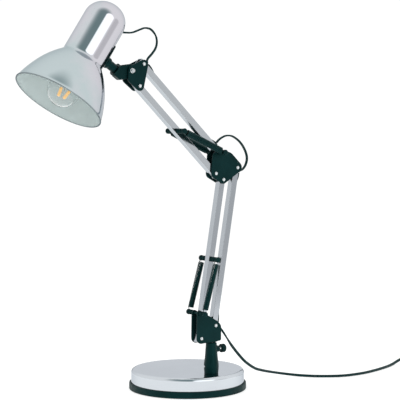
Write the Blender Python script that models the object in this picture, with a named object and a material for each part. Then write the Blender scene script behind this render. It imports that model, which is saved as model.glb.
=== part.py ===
"""A chrome swing arm desk lamp with two spring-balanced parallel arms, built piece by piece.

The arm moves in the plane y = POST_Y. +X runs in that plane from the shade towards the elbow,
+Z is up, and the origin is the centre of the base's underside. All lengths are in metres.
"""

import math

import bmesh
import bpy
from mathutils import Matrix, Vector

# Base
BASE_RADIUS = 0.0875
RING_HEIGHT = 0.0097
COVER_RADIUS = 0.0846
BASE_HEIGHT = 0.0292
SHEET = 0.001
POST_X = 0.0056
POST_Y = -0.0519
POST_TOP = 0.0742
CLAMP_HEIGHT = 0.0640

# Arms: square tubes between pairs of plates
TUBE = 0.0096
TUBE_WALL = 0.0008
TUBE_PAST_PIVOT = 0.0062
PLATE_INNER = 0.0053
PLATE_OUTER = 0.0078
RIVET_SHANK = 0.0020
GAP = 0.0003

# Linkage at rest, as (x, z) in the arm's plane
LOWER_LENGTH = 0.2336
LOWER_LEAN = math.radians(9.85)
UPPER_LENGTH = 0.1818
UPPER_LEAN = math.radians(-46.71)
YOKE_FRONT = Vector((-0.0175, 0.0828))
YOKE_LINK = Vector((0.0258, 0.0170))
ELBOW_OFFSET = Vector((-0.0137, 0.0092))
HEAD_LINK = Vector((0.0068, 0.0307))
TILT_OFFSET = Vector((-0.0132, 0.0208))

# Springs and their cross pins
YOKE_PIN = Vector((-0.0204, 0.1196))
LOWER_PIN_ALONG = 0.1163
UPPER_PIN_ALONG = 0.0900
SPRING_Y = 0.0180
SPRING_RADIUS = 0.0044
HOOK_RADIUS = 0.0009
PIN_HALF = 0.0224

# Shade, in its own frame: local Z runs up the neck, local X towards the arm, and the origin is
# where the neck's axis meets the stem's axis
SHADE_LEAN = math.radians(34.0)
SHADE_ORIGIN = Vector((-0.2020, 0.4976))
RIM_BELOW = 0.0877
NECK_RADIUS = 0.0298
BOWL_CURVE = (
    (0.0, 0.0647), (0.0130, 0.0612), (0.0260, 0.0565), (0.0390, 0.0506), (0.0500, 0.0441),
    (0.0590, 0.0376), (0.0650, 0.0325), (0.0683, 0.0303), (0.0715, 0.0298),
)
SHADE_LENGTH = 0.1586
DOME_DEPTH = 0.0272
SHADE_SHEET = 0.0009
BULB_RADIUS = 0.0225
BULB_UP = 0.0170
KNUCKLE_FACE = 0.0525

# Flex
CORD_RADIUS = 0.0020
FLOOR_CORD_Z = 0.0022
COIL_CENTRE = Vector((0.5165, -0.0850))
COIL_RADIUS = 0.0275
COIL_BAND = 0.0088
COIL_HEIGHT = 0.0072
SWITCH_CENTRE = Vector((0.4600, -0.0400))
SWITCH_HEADING = math.radians(-8.0)
SWITCH_HALF = 0.0310
PLUG_CENTRE = Vector((0.4810, -0.1335))
PLUG_HEADING = math.radians(187.0)

COLOURS = {
    "chrome": ((0.72, 0.73, 0.74), 0.08, 1.0),
    "black_enamel": ((0.006, 0.018, 0.018), 0.32, 0.0),
    "black_plastic": ((0.008, 0.020, 0.020), 0.42, 0.0),
    "spring_steel": ((0.010, 0.024, 0.024), 0.38, 0.6),
    "rivet_steel": ((0.75, 0.77, 0.78), 0.25, 1.0),
    "cast_iron": ((0.05, 0.05, 0.05), 0.8, 0.6),
    "fibre_board": ((0.03, 0.03, 0.03), 0.9, 0.0),
    "flex": ((0.006, 0.012, 0.012), 0.45, 0.0),
    "bakelite": ((0.72, 0.73, 0.70), 0.4, 0.0),
    "bulb_glass": ((0.95, 0.97, 0.97), 0.02, 0.0),
    "bulb_brass": ((0.70, 0.66, 0.55), 0.25, 1.0),
    "shade": ((0.72, 0.73, 0.74), 0.10, 1.0),
}


def clear_scene():
    for old in list(bpy.data.objects):
        bpy.data.objects.remove(old, do_unlink=True)


def material(name):
    found = bpy.data.materials.get(name)
    if found:
        return found
    colour, roughness, metallic = COLOURS[name]
    made = bpy.data.materials.new(name)
    made.use_nodes = True
    shader = made.node_tree.nodes["Principled BSDF"]
    shader.inputs["Base Color"].default_value = (*colour, 1.0)
    shader.inputs["Roughness"].default_value = roughness
    shader.inputs["Metallic"].default_value = metallic
    made.diffuse_color = (*colour, 1.0)
    return made


def arm_point(flat, y=0.0):
    """A point of the arm's plane, given as (x, z), in world coordinates."""
    return Vector((flat[0], POST_Y + y, flat[1]))


def leaning(length, lean):
    """The (x, z) step along a bar that leans this far from upright towards +X."""
    return Vector((length * math.sin(lean), length * math.cos(lean)))


def pivot(name, place, lean=0.0, parent=None):
    """An empty on a joint's axis, its local Z leaning towards +X."""
    empty = bpy.data.objects.new(name, None)
    empty.empty_display_size = 0.01
    bpy.context.collection.objects.link(empty)
    world = Matrix.Translation(place) @ Matrix.Rotation(lean, 4, "Y")
    if parent:
        empty.parent = parent
        empty.matrix_parent_inverse = Matrix(parent["world"]).inverted()
    empty.location = place
    empty.rotation_euler = (0.0, lean, 0.0)
    empty["world"] = [list(row) for row in world]
    return empty


def finish(name, data, look, parent=None, at=(0.0, 0.0, 0.0), turn=(0.0, 0.0, 0.0)):
    """Link a mesh or curve as a named piece, placed in its parent's frame."""
    made = bpy.data.objects.new(name, data)
    data.materials.append(material(look))
    bpy.context.collection.objects.link(made)
    if parent:
        made.parent = parent
    made.location = at
    made.rotation_euler = turn
    return made


def mesh_of(name, shape, smooth_angle=35.0):
    bmesh.ops.remove_doubles(shape, verts=shape.verts, dist=1e-7)
    bmesh.ops.recalc_face_normals(shape, faces=shape.faces)
    data = bpy.data.meshes.new(name)
    shape.to_mesh(data)
    shape.free()
    data.shade_smooth()
    data.set_sharp_from_angle(angle=math.radians(smooth_angle))
    return data


def turned(name, profile, steps=14):
    """Spin a closed (radius, z) outline about Z."""
    shape = bmesh.new()
    points = [shape.verts.new((r, 0.0, z)) for r, z in profile]
    edges = []
    for first, second in zip(points, points[1:] + points[:1]):
        if first.co.x > 1e-7 or second.co.x > 1e-7:
            edges.append(shape.edges.new((first, second)))
    bmesh.ops.spin(
        shape, geom=points + edges, cent=(0, 0, 0), axis=(0, 0, 1),
        angle=math.tau, steps=steps, use_merge=True, use_duplicate=False,
    )
    return mesh_of(name, shape)


def extruded(name, outline, low, high):
    """Extrude an (x, z) outline along Y from low to high."""
    shape = bmesh.new()
    face = shape.faces.new([shape.verts.new((x, low, z)) for x, z in outline])
    grown = bmesh.ops.extrude_face_region(shape, geom=[face])
    moved = [item for item in grown["geom"] if isinstance(item, bmesh.types.BMVert)]
    bmesh.ops.translate(shape, verts=moved, vec=(0.0, high - low, 0.0))
    return mesh_of(name, shape)


def hull(circles, steps=14):
    """The outline of a band stretched round circles given as (x, z, radius)."""
    cloud = []
    for x, z, radius in circles:
        for step in range(steps):
            angle = math.tau * step / steps
            cloud.append((x + radius * math.cos(angle), z + radius * math.sin(angle)))
    cloud.sort()

    def half(points):
        chain = []
        for point in points:
            while len(chain) > 1 and turn_of(chain[-2], chain[-1], point) <= 1e-10:
                chain.pop()
            chain.append(point)
        return chain[:-1]

    return half(cloud) + half(cloud[::-1])


def turn_of(a, b, c):
    return (b[0] - a[0]) * (c[1] - a[1]) - (b[1] - a[1]) * (c[0] - a[0])


def cut(piece, shape, name):
    """Boolean a bmesh of closed cutters out of a piece."""
    data = bpy.data.meshes.new(name)
    bmesh.ops.recalc_face_normals(shape, faces=shape.faces)
    shape.to_mesh(data)
    shape.free()
    cutter = bpy.data.objects.new(name, data)
    bpy.context.collection.objects.link(cutter)
    cutter.parent = piece
    cutter.hide_render = True
    cutter.display_type = "WIRE"
    boolean = piece.modifiers.new("holes", "BOOLEAN")
    boolean.operation = "DIFFERENCE"
    boolean.solver = "EXACT"
    boolean.object = cutter


def cylinder(shape, radius, centre, along, length, steps=12):
    spin = Vector((0, 0, 1)).rotation_difference(Vector(along)).to_matrix().to_4x4()
    bmesh.ops.create_cone(
        shape, cap_ends=True, segments=steps, radius1=radius, radius2=radius,
        depth=length, matrix=Matrix.Translation(centre) @ spin,
    )


def box(shape, low, high):
    size = Vector(high) - Vector(low)
    middle = (Vector(high) + Vector(low)) / 2
    bmesh.ops.create_cube(
        shape, size=1.0, matrix=Matrix.Translation(middle) @ Matrix.Diagonal((*size, 1.0))
    )


def drill(piece, spots, radius, depth=0.04):
    """Cross holes along Y at (x, z) spots of the piece's own frame."""
    shape = bmesh.new()
    for x, z in spots:
        cylinder(shape, radius, (x, 0.0, z), (0, 1, 0), depth)
    cut(piece, shape, piece.name + "_drill")


def smooth_route(points, spacing):
    """Even points on a Catmull-Rom curve through the route's points."""
    route = [Vector(p) for p in points]
    padded = [route[0] * 2 - route[1]] + route + [route[-1] * 2 - route[-2]]
    fine = []
    for a, b, c, d in zip(padded, padded[1:], padded[2:], padded[3:]):
        for step in range(24):
            t = step / 24
            fine.append(0.5 * (
                2 * b + (c - a) * t + (2 * a - 5 * b + 4 * c - d) * t ** 2
                + (3 * b - a - 3 * c + d) * t ** 3
            ))
    fine.append(route[-1])
    total = sum((q - p).length for p, q in zip(fine, fine[1:]))
    count = max(2, round(total / spacing))
    even = [fine[0]]
    walked = 0.0
    for p, q in zip(fine, fine[1:]):
        piece = (q - p).length
        while len(even) < count and walked + piece >= total * len(even) / count:
            even.append(p.lerp(q, (total * len(even) / count - walked) / piece))
        walked += piece
    return even + [fine[-1]]


def cord(name, points, parent=None, spacing=0.0095, resolution=1):
    """A plain round flex through world points, riding on its parent."""
    curve = bpy.data.curves.new(name, "CURVE")
    curve.dimensions = "3D"
    curve.bevel_depth = CORD_RADIUS
    curve.bevel_resolution = resolution
    curve.use_fill_caps = True
    path = smooth_route(points, spacing)
    spline = curve.splines.new("POLY")
    spline.points.add(len(path) - 1)
    for knot, place in zip(spline.points, path):
        knot.co = (*place, 1.0)
    made = finish(name, curve, "flex", parent)
    if parent:
        made.matrix_parent_inverse = Matrix(parent["world"]).inverted()
    return made


# ---------------------------------------------------------------- base and post


def build_base():
    step = 0.0024
    finish("base_plate", turned("base_plate", [(0, 0), (0.0772, 0), (0.0772, step), (0, step)], 28),
           "fibre_board")
    ring = [
        (0.0775, 0.0), (BASE_RADIUS, 0.0), (BASE_RADIUS, RING_HEIGHT - 0.0010),
        (BASE_RADIUS - 0.0010, RING_HEIGHT), (COVER_RADIUS + 0.0004, RING_HEIGHT),
        (COVER_RADIUS + 0.0004, 0.0036), (0.0775, 0.0036),
    ]
    finish("base_ring", turned("base_ring", ring, 36), "black_plastic")
    finish("base_cover", turned("base_cover", cover_profile(), 36), "chrome")
    cover = bpy.data.objects["base_cover"]
    shape = bmesh.new()
    cylinder(shape, 0.0046, (POST_X, POST_Y, BASE_HEIGHT), (0, 0, 1), 0.01)
    cut(cover, shape, "base_cover_hole")
    top = BASE_HEIGHT - SHEET - GAP
    weight = finish(
        "base_weight",
        turned("base_weight", [(0, 0.0145), (0.0780, 0.0145), (0.0790, 0.0155),
                               (0.0790, top - 0.003), (0.0760, top), (0, top)], 24),
        "cast_iron",
    )
    shape = bmesh.new()
    cylinder(shape, 0.0046, (POST_X, POST_Y, 0.02), (0, 0, 1), 0.04)
    cut(weight, shape, "base_weight_hole")


def cover_profile():
    """The pressed steel cover: a flat top, a rounded shoulder and a skirt, one sheet thick."""
    shoulder = 0.0055
    outer = []
    steps = 3
    for k in range(steps + 1):
        angle = math.radians(90 * k / steps)
        outer.append((COVER_RADIUS - shoulder + shoulder * math.sin(angle),
                      BASE_HEIGHT - shoulder + shoulder * math.cos(angle)))
    inner_shoulder = shoulder - SHEET
    inner = []
    for k in range(steps + 1):
        angle = math.radians(90 - 90 * k / steps)
        inner.append((COVER_RADIUS - shoulder + inner_shoulder * math.sin(angle),
                      BASE_HEIGHT - shoulder + inner_shoulder * math.cos(angle)))
    foot = 0.0040
    return (
        [(0.0, BASE_HEIGHT)] + outer + [(COVER_RADIUS, foot), (COVER_RADIUS - SHEET, foot)]
        + inner + [(0.0, BASE_HEIGHT - SHEET)]
    )


def build_post():
    """The socket that the arm swivels in, its bolt up through the weight, and its clamp screw."""
    foot = BASE_HEIGHT + GAP
    bore = 0.0044
    floor = 0.0410
    profile = [
        (0.0, foot), (0.0103, foot), (0.0110, 0.0390), (0.0098, 0.0500), (0.0090, 0.0600),
        (0.0082, POST_TOP - 0.0008), (0.0074, POST_TOP), (bore, POST_TOP), (bore, floor), (0.0, floor),
    ]
    shape = bmesh.new()
    shape.from_mesh(turned("post_blank", profile, 18))
    post = finish("post_socket", mesh_of("post_socket", shape), "black_enamel",
                  at=(POST_X, POST_Y, 0.0))
    boss = bmesh.new()
    cylinder(boss, 0.0048, (0.0090, 0.0, CLAMP_HEIGHT), (1, 0, 0), 0.0070)
    add_on(post, boss, "post_boss")
    holes = bmesh.new()
    cylinder(holes, 0.0022, (0.0100, 0.0, CLAMP_HEIGHT), (1, 0, 0), 0.0160, 12)
    cylinder(holes, 0.0018, (-0.0105, 0.0, 0.0385), (1, 0, 0), 0.0060, 12)
    cylinder(holes, 0.0040, (0.0, 0.0, foot + 0.0035), (0, 0, 1), 0.0100)
    cut(post, holes, "post_holes")

    bolt = [
        (0.0, 0.0086), (0.0064, 0.0086), (0.0072, 0.0094), (0.0072, 0.0126), (0.0110, 0.0126),
        (0.0110, 0.0142), (0.0037, 0.0142), (0.0037, foot + 0.0080), (0.0, foot + 0.0080),
    ]
    finish("post_bolt", turned("post_bolt", bolt, 12), "rivet_steel", at=(POST_X, POST_Y, 0.0))

    axis = pivot("clamp_axis", Vector((POST_X, POST_Y, CLAMP_HEIGHT)), math.radians(90))
    screw = [
        (0.0, 0.0046), (0.0019, 0.0046), (0.0019, 0.0164), (0.0056, 0.0168), (0.0064, 0.0176),
        (0.0064, 0.0230), (0.0054, 0.0240), (0.0, 0.0240),
    ]
    finish("clamp_screw", turned("clamp_screw", screw, 16), "black_plastic", axis)


def add_on(piece, shape, name):
    """Boolean a bmesh onto a piece."""
    data = bpy.data.meshes.new(name)
    bmesh.ops.recalc_face_normals(shape, faces=shape.faces)
    shape.to_mesh(data)
    shape.free()
    other = bpy.data.objects.new(name, data)
    bpy.context.collection.objects.link(other)
    other.parent = piece
    other.hide_render = True
    other.display_type = "WIRE"
    boolean = piece.modifiers.new("join", "BOOLEAN")
    boolean.operation = "UNION"
    boolean.solver = "EXACT"
    boolean.object = other


# ---------------------------------------------------------------- linkage pieces


def square_tube(name, length, parent):
    """A square tube along local Z, open at both ends, reaching a little past both pivots."""
    half = TUBE / 2
    corner = 0.0009
    inner = half - TUBE_WALL
    shape = bmesh.new()
    low = -TUBE_PAST_PIVOT
    outer_ring = [
        (half - corner, -half), (half, -half + corner), (half, half - corner),
        (half - corner, half), (-half + corner, half), (-half, half - corner),
        (-half, -half + corner), (-half + corner, -half),
    ]
    small = 0.0002
    inner_ring = [
        (inner - small, -inner), (inner, -inner + small), (inner, inner - small),
        (inner - small, inner), (-inner + small, inner), (-inner, inner - small),
        (-inner, -inner + small), (-inner + small, -inner),
    ]
    outside = [shape.verts.new((x, y, low)) for x, y in outer_ring]
    inside = [shape.verts.new((x, y, low)) for x, y in inner_ring]
    faces = []
    for k in range(8):
        n = (k + 1) % 8
        faces.append(shape.faces.new((outside[k], outside[n], inside[n], inside[k])))
    grown = bmesh.ops.extrude_face_region(shape, geom=faces)
    moved = [item for item in grown["geom"] if isinstance(item, bmesh.types.BMVert)]
    bmesh.ops.translate(shape, verts=moved, vec=(0, 0, length + 2 * TUBE_PAST_PIVOT))
    return finish(name, mesh_of(name, shape), "chrome", parent)


def rivet(name, parent, spot, head=0.0029):
    """A domed rivet right through both plates."""
    reach = PLATE_OUTER + GAP
    half = [
        (0.0, reach + 0.0015), (head * 0.70, reach + 0.0010), (head, reach), (RIVET_SHANK, reach),
    ]
    profile = half + [(r, -z) for r, z in reversed(half)]
    finish(name, turned(name, profile, 12), "rivet_steel", parent,
           (spot[0], 0.0, spot[1]), (math.radians(90), 0.0, 0.0))


def spring_pin(name, parent, spot, clear):
    """A cross pin: a bare rod out to clear, then sleeves with a groove for each spring's hook."""
    rod = 0.0020
    half = [
        (0.0, PIN_HALF), (0.0034, PIN_HALF), (0.0041, PIN_HALF - 0.0010), (0.0041, SPRING_Y + 0.0016),
        (0.0026, SPRING_Y + 0.0010), (0.0026, SPRING_Y - 0.0010), (0.0037, SPRING_Y - 0.0016),
        (0.0037, clear), (rod, clear),
    ]
    profile = half + [(r, -z) for r, z in reversed(half)]
    finish(name, turned(name, profile, 12), "black_plastic", parent,
           (spot[0], 0.0, spot[1]), (math.radians(90), 0.0, 0.0))


def spring(name, parent, low, high, y):
    """The closed outline of a close-wound spring between two (x, z) pins."""
    span = high - low
    length = span.length
    end = 0.0032
    neck = 0.0070
    body = 0.0082
    profile = [
        (0.0, end), (HOOK_RADIUS, end), (HOOK_RADIUS, neck), (SPRING_RADIUS, body),
        (SPRING_RADIUS, length - body), (HOOK_RADIUS, length - neck), (HOOK_RADIUS, length - end),
        (0.0, length - end),
    ]
    made = finish(name, turned(name, profile, 10), "spring_steel", parent)
    lean = math.atan2(span.x, span.y)
    made.matrix_parent_inverse = Matrix(parent["world"]).inverted()
    made.location = arm_point(low, y)
    made.rotation_euler = (0.0, lean, 0.0)


def cord_hood(name, parent, tip, mouth):
    """The plastic hood over a rear bar's cord slot, low at its tip and open-faced at its mouth."""
    skin = TUBE / 2 + GAP
    way = 1.0 if mouth > tip else -1.0
    outline = [
        (skin, tip), (skin + 0.0010, tip), (skin + 0.0024, tip + way * 0.0045),
        (skin + 0.0034, mouth - way * 0.0056), (skin + 0.0034, mouth), (skin, mouth),
    ]
    finish(name, extruded(name, outline, -0.0032, 0.0032), "black_plastic", parent)


def cord_slot(bar, spots):
    """Slots in a rear bar's outer wall, given as (low, high) along the bar."""
    shape = bmesh.new()
    for low, high in spots:
        box(shape, (TUBE / 2 - 0.0030, -0.0022, low), (TUBE / 2 + 0.0030, 0.0022, high))
    cut(bar, shape, bar.name + "_slots")


def plate_pair(name, parent, circles, holes, origin):
    """Two like plates, near the viewer of the arm (-Y) and far from it."""
    local = [(x - origin[0], z - origin[1], r) for x, z, r in circles]
    outline = hull(local)
    for side, low, high in (("near", -PLATE_OUTER, -PLATE_INNER), ("far", PLATE_INNER, PLATE_OUTER)):
        node = f"{name}_{side}"
        made = finish(node, extruded(node, outline, low, high), "black_enamel", parent)
        shape = bmesh.new()
        for x, z, radius in holes:
            cylinder(shape, radius, (x - origin[0], (low + high) / 2, z - origin[1]), (0, 1, 0), 0.006)
        cut(made, shape, node + "_holes")


def build_linkage():
    """Yoke, lower arm, elbow, upper arm and head bracket, each body hung on its own pivot."""
    hole = RIVET_SHANK + GAP
    yoke_front = YOKE_FRONT
    yoke_rear = yoke_front + YOKE_LINK
    elbow_front = yoke_front + leaning(LOWER_LENGTH, LOWER_LEAN)
    elbow_rear = yoke_rear + leaning(LOWER_LENGTH, LOWER_LEAN)
    upper_front = elbow_front + ELBOW_OFFSET
    upper_rear = upper_front + HEAD_LINK
    head_front = upper_front + leaning(UPPER_LENGTH, UPPER_LEAN)
    head_rear = upper_rear + leaning(UPPER_LENGTH, UPPER_LEAN)
    tilt = head_front + TILT_OFFSET

    # Yoke
    yoke = pivot("yoke_axis", Vector((POST_X, POST_Y, 0.0)))
    yoke_origin = Vector((POST_X, 0.0))
    circles = [
        (YOKE_PIN.x, YOKE_PIN.y - 0.0006, 0.0046),
        (yoke_rear.x, yoke_rear.y, 0.0070), (0.0134, 0.0975, 0.0047), (0.0153, 0.0795, 0.0028),
        (yoke_front.x, yoke_front.y + 0.0004, 0.0081), (-0.0100, 0.0793, 0.0026),
    ]
    holes = [(*yoke_front, hole), (*yoke_rear, hole), (*YOKE_PIN, hole)]
    plate_pair("yoke_plate", yoke, circles, holes, yoke_origin)
    rivet("rivet_yoke_front", yoke, yoke_front - yoke_origin)
    rivet("rivet_yoke_rear", yoke, yoke_rear - yoke_origin)
    spring_pin("yoke_spring_pin", yoke, YOKE_PIN - yoke_origin, PLATE_OUTER + GAP)
    block = bmesh.new()
    box(block, (-0.0080, -0.0050, POST_TOP + 0.0008), (0.0085, 0.0050, 0.0900))
    swivel = finish("swivel_block", mesh_of("swivel_block", block), "black_enamel", yoke)
    spindle = bmesh.new()
    cylinder(spindle, 0.0040, (0.0, 0.0, 0.0600), (0, 0, 1), 0.0360, 16)
    add_on(swivel, spindle, "swivel_spindle")

    # Lower arm
    lower_front = pivot("lower_front_axis", arm_point(yoke_front), LOWER_LEAN, yoke)
    bar = square_tube("lower_front_bar", LOWER_LENGTH, lower_front)
    drill(bar, [(0.0, 0.0), (0.0, LOWER_PIN_ALONG), (0.0, LOWER_LENGTH)], hole)
    spring_pin("lower_arm_pin", lower_front, Vector((0.0, LOWER_PIN_ALONG)), TUBE / 2 + GAP)
    lower_rear = pivot("lower_rear_axis", arm_point(yoke_rear), LOWER_LEAN, yoke)
    bar = square_tube("lower_rear_bar", LOWER_LENGTH, lower_rear)
    drill(bar, [(0.0, 0.0), (0.0, LOWER_LENGTH)], hole)
    cord_slot(bar, [(0.0065, 0.0165), (LOWER_LENGTH - 0.0170, LOWER_LENGTH - 0.0090)])
    cord_hood("hood_lower_foot", lower_rear, 0.0210, 0.0042)
    cord_hood("hood_lower_top", lower_rear, LOWER_LENGTH - 0.0205, LOWER_LENGTH - 0.0068)
    low_pin = yoke_front + leaning(LOWER_PIN_ALONG, LOWER_LEAN)
    spring("lower_spring_near", yoke, YOKE_PIN, low_pin, -SPRING_Y)
    spring("lower_spring_far", yoke, YOKE_PIN, low_pin, SPRING_Y)

    # Elbow
    elbow = pivot("elbow_axis", arm_point(elbow_rear), 0.0, lower_rear)
    circles = [
        (upper_front.x, upper_front.y, 0.0080), (0.0095, 0.3465, 0.0068),
        (upper_rear.x, upper_rear.y - 0.0005, 0.0058), (0.0290, 0.3385, 0.0150),
        (elbow_rear.x, elbow_rear.y + 0.0006, 0.0076), (elbow_front.x - 0.0002, elbow_front.y, 0.0062),
    ]
    holes = [(*upper_front, hole), (*upper_rear, hole), (*elbow_front, hole), (*elbow_rear, hole)]
    plate_pair("elbow_plate", elbow, circles, holes, elbow_rear)
    rivet("rivet_elbow_upper", elbow, upper_front - elbow_rear)
    rivet("rivet_elbow_front", elbow, elbow_front - elbow_rear)
    rivet("rivet_elbow_rear", elbow, Vector((0.0, 0.0)))
    spring_pin("elbow_spring_pin", elbow, upper_rear - elbow_rear, PLATE_OUTER + GAP)

    # Upper arm
    front_axis = pivot("upper_front_axis", arm_point(upper_front), UPPER_LEAN, elbow)
    bar = square_tube("upper_front_bar", UPPER_LENGTH, front_axis)
    drill(bar, [(0.0, 0.0), (0.0, UPPER_PIN_ALONG), (0.0, UPPER_LENGTH)], hole)
    spring_pin("upper_arm_pin", front_axis, Vector((0.0, UPPER_PIN_ALONG)), TUBE / 2 + GAP)
    rear_axis = pivot("upper_rear_axis", arm_point(upper_rear), UPPER_LEAN, elbow)
    bar = square_tube("upper_rear_bar", UPPER_LENGTH, rear_axis)
    drill(bar, [(0.0, 0.0), (0.0, UPPER_LENGTH)], hole)
    cord_slot(bar, [(0.0110, 0.0185), (UPPER_LENGTH - 0.0185, UPPER_LENGTH - 0.0105)])
    cord_hood("hood_upper_foot", rear_axis, 0.0215, 0.0085)
    cord_hood("hood_upper_top", rear_axis, UPPER_LENGTH - 0.0215, UPPER_LENGTH - 0.0080)
    high_pin = upper_front + leaning(UPPER_PIN_ALONG, UPPER_LEAN)
    spring("upper_spring_near", elbow, upper_rear, high_pin, -SPRING_Y)
    spring("upper_spring_far", elbow, upper_rear, high_pin, SPRING_Y)

    # Head bracket
    head = pivot("head_axis", arm_point(head_rear), 0.0, rear_axis)
    circles = [
        (head_rear.x, head_rear.y - 0.0010, 0.0070), (tilt.x + 0.0010, tilt.y + 0.0005, 0.0070),
        (-0.1372, 0.4565, 0.0062), (head_front.x, head_front.y, 0.0069),
    ]
    holes = [(*head_front, hole), (*head_rear, hole), (*tilt, 0.0028)]
    plate_pair("head_plate", head, circles, holes, head_rear)
    rivet("rivet_head_front", head, head_front - head_rear)
    rivet("rivet_head_rear", head, Vector((0.0, 0.0)))
    return rear_axis, elbow, head, head_rear, tilt


# ---------------------------------------------------------------- head


def build_tilt_joint(head, head_rear, tilt):
    """The bolt, wing nut and flat knuckle that the shade tilts on."""
    reach = PLATE_OUTER + GAP
    bolt = [
        (0.0, -0.0215), (0.0025, -0.0215), (0.0025, reach), (0.0040, reach),
        (0.0040, reach + 0.0010), (0.0034, reach + 0.0032), (0.0, reach + 0.0036),
    ]
    finish("tilt_bolt", turned("tilt_bolt", bolt, 12), "rivet_steel", head,
           (tilt.x - head_rear.x, 0.0, tilt.y - head_rear.y), (math.radians(90), 0.0, 0.0))

    knuckle = pivot("tilt_axis", arm_point(tilt), SHADE_LEAN, head)
    stem_drop, back = in_shade_frame(tilt)
    circles = [
        (0.0, 0.0, 0.0095), (KNUCKLE_FACE - back + 0.0030, -stem_drop + 0.0065, 0.0030),
        (KNUCKLE_FACE - back + 0.0030, -stem_drop - 0.0060, 0.0030),
        (KNUCKLE_FACE - back + 0.0100, -stem_drop - 0.0062, 0.0028),
    ]
    eye = finish("tilt_knuckle", extruded("tilt_knuckle", hull(circles), -0.0049, 0.0049),
                 "black_enamel", knuckle)
    shape = bmesh.new()
    cylinder(shape, 0.0028, (0, 0, 0), (0, 1, 0), 0.02)
    cylinder(shape, 0.0033, (KNUCKLE_FACE - back + 0.0060, 0, -stem_drop), (1, 0, 0), 0.0160)
    cut(eye, shape, "tilt_knuckle_holes")

    nut = pivot("wing_nut_axis", arm_point(tilt), 0.0, head)
    hub = [(0.0028, 0.0082), (0.0052, 0.0082), (0.0046, 0.0145), (0.0028, 0.0145)]
    wing = finish("wing_nut", turned("wing_nut", hub, 12), "black_enamel", nut,
                  turn=(math.radians(-90), 0.0, math.radians(0.0)))
    wings = bmesh.new()
    for side in (1.0, -1.0):
        lobe = [(0.0040, 0.0092), (0.0090, 0.0100), (0.0125, 0.0135), (0.0120, 0.0175),
                (0.0095, 0.0180), (0.0040, 0.0138)]
        face = wings.faces.new([wings.verts.new((side * x, -0.0010, z)) for x, z in lobe])
        grown = bmesh.ops.extrude_face_region(wings, geom=[face])
        moved = [item for item in grown["geom"] if isinstance(item, bmesh.types.BMVert)]
        bmesh.ops.translate(wings, verts=moved, vec=(0, 0.0020, 0))
    bmesh.ops.rotate(wings, verts=wings.verts, cent=(0, 0, 0),
                     matrix=Matrix.Rotation(math.radians(32), 3, "Z"))
    add_on(wing, wings, "wing_nut_wings")
    return knuckle


def in_shade_frame(flat):
    """How far up the neck and how far towards the arm an (x, z) point lies in the shade's frame."""
    rel = flat - SHADE_ORIGIN
    up = Vector((math.sin(SHADE_LEAN), math.cos(SHADE_LEAN)))
    out = Vector((math.cos(SHADE_LEAN), -math.sin(SHADE_LEAN)))
    return rel.dot(up), rel.dot(out)


def shade_outline():
    """The shade's outside as (radius, height above the rim), from the rim to the crown."""
    outline = [(radius, height) for height, radius in BOWL_CURVE]
    dome_foot = SHADE_LENGTH - DOME_DEPTH
    steps = 5
    for k in range(steps + 1):
        angle = math.radians(90 * k / steps)
        outline.append((NECK_RADIUS * math.cos(angle) ** 0.95, dome_foot + DOME_DEPTH * math.sin(angle)))
    outline[-1] = (0.0, SHADE_LENGTH)
    return outline


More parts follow.
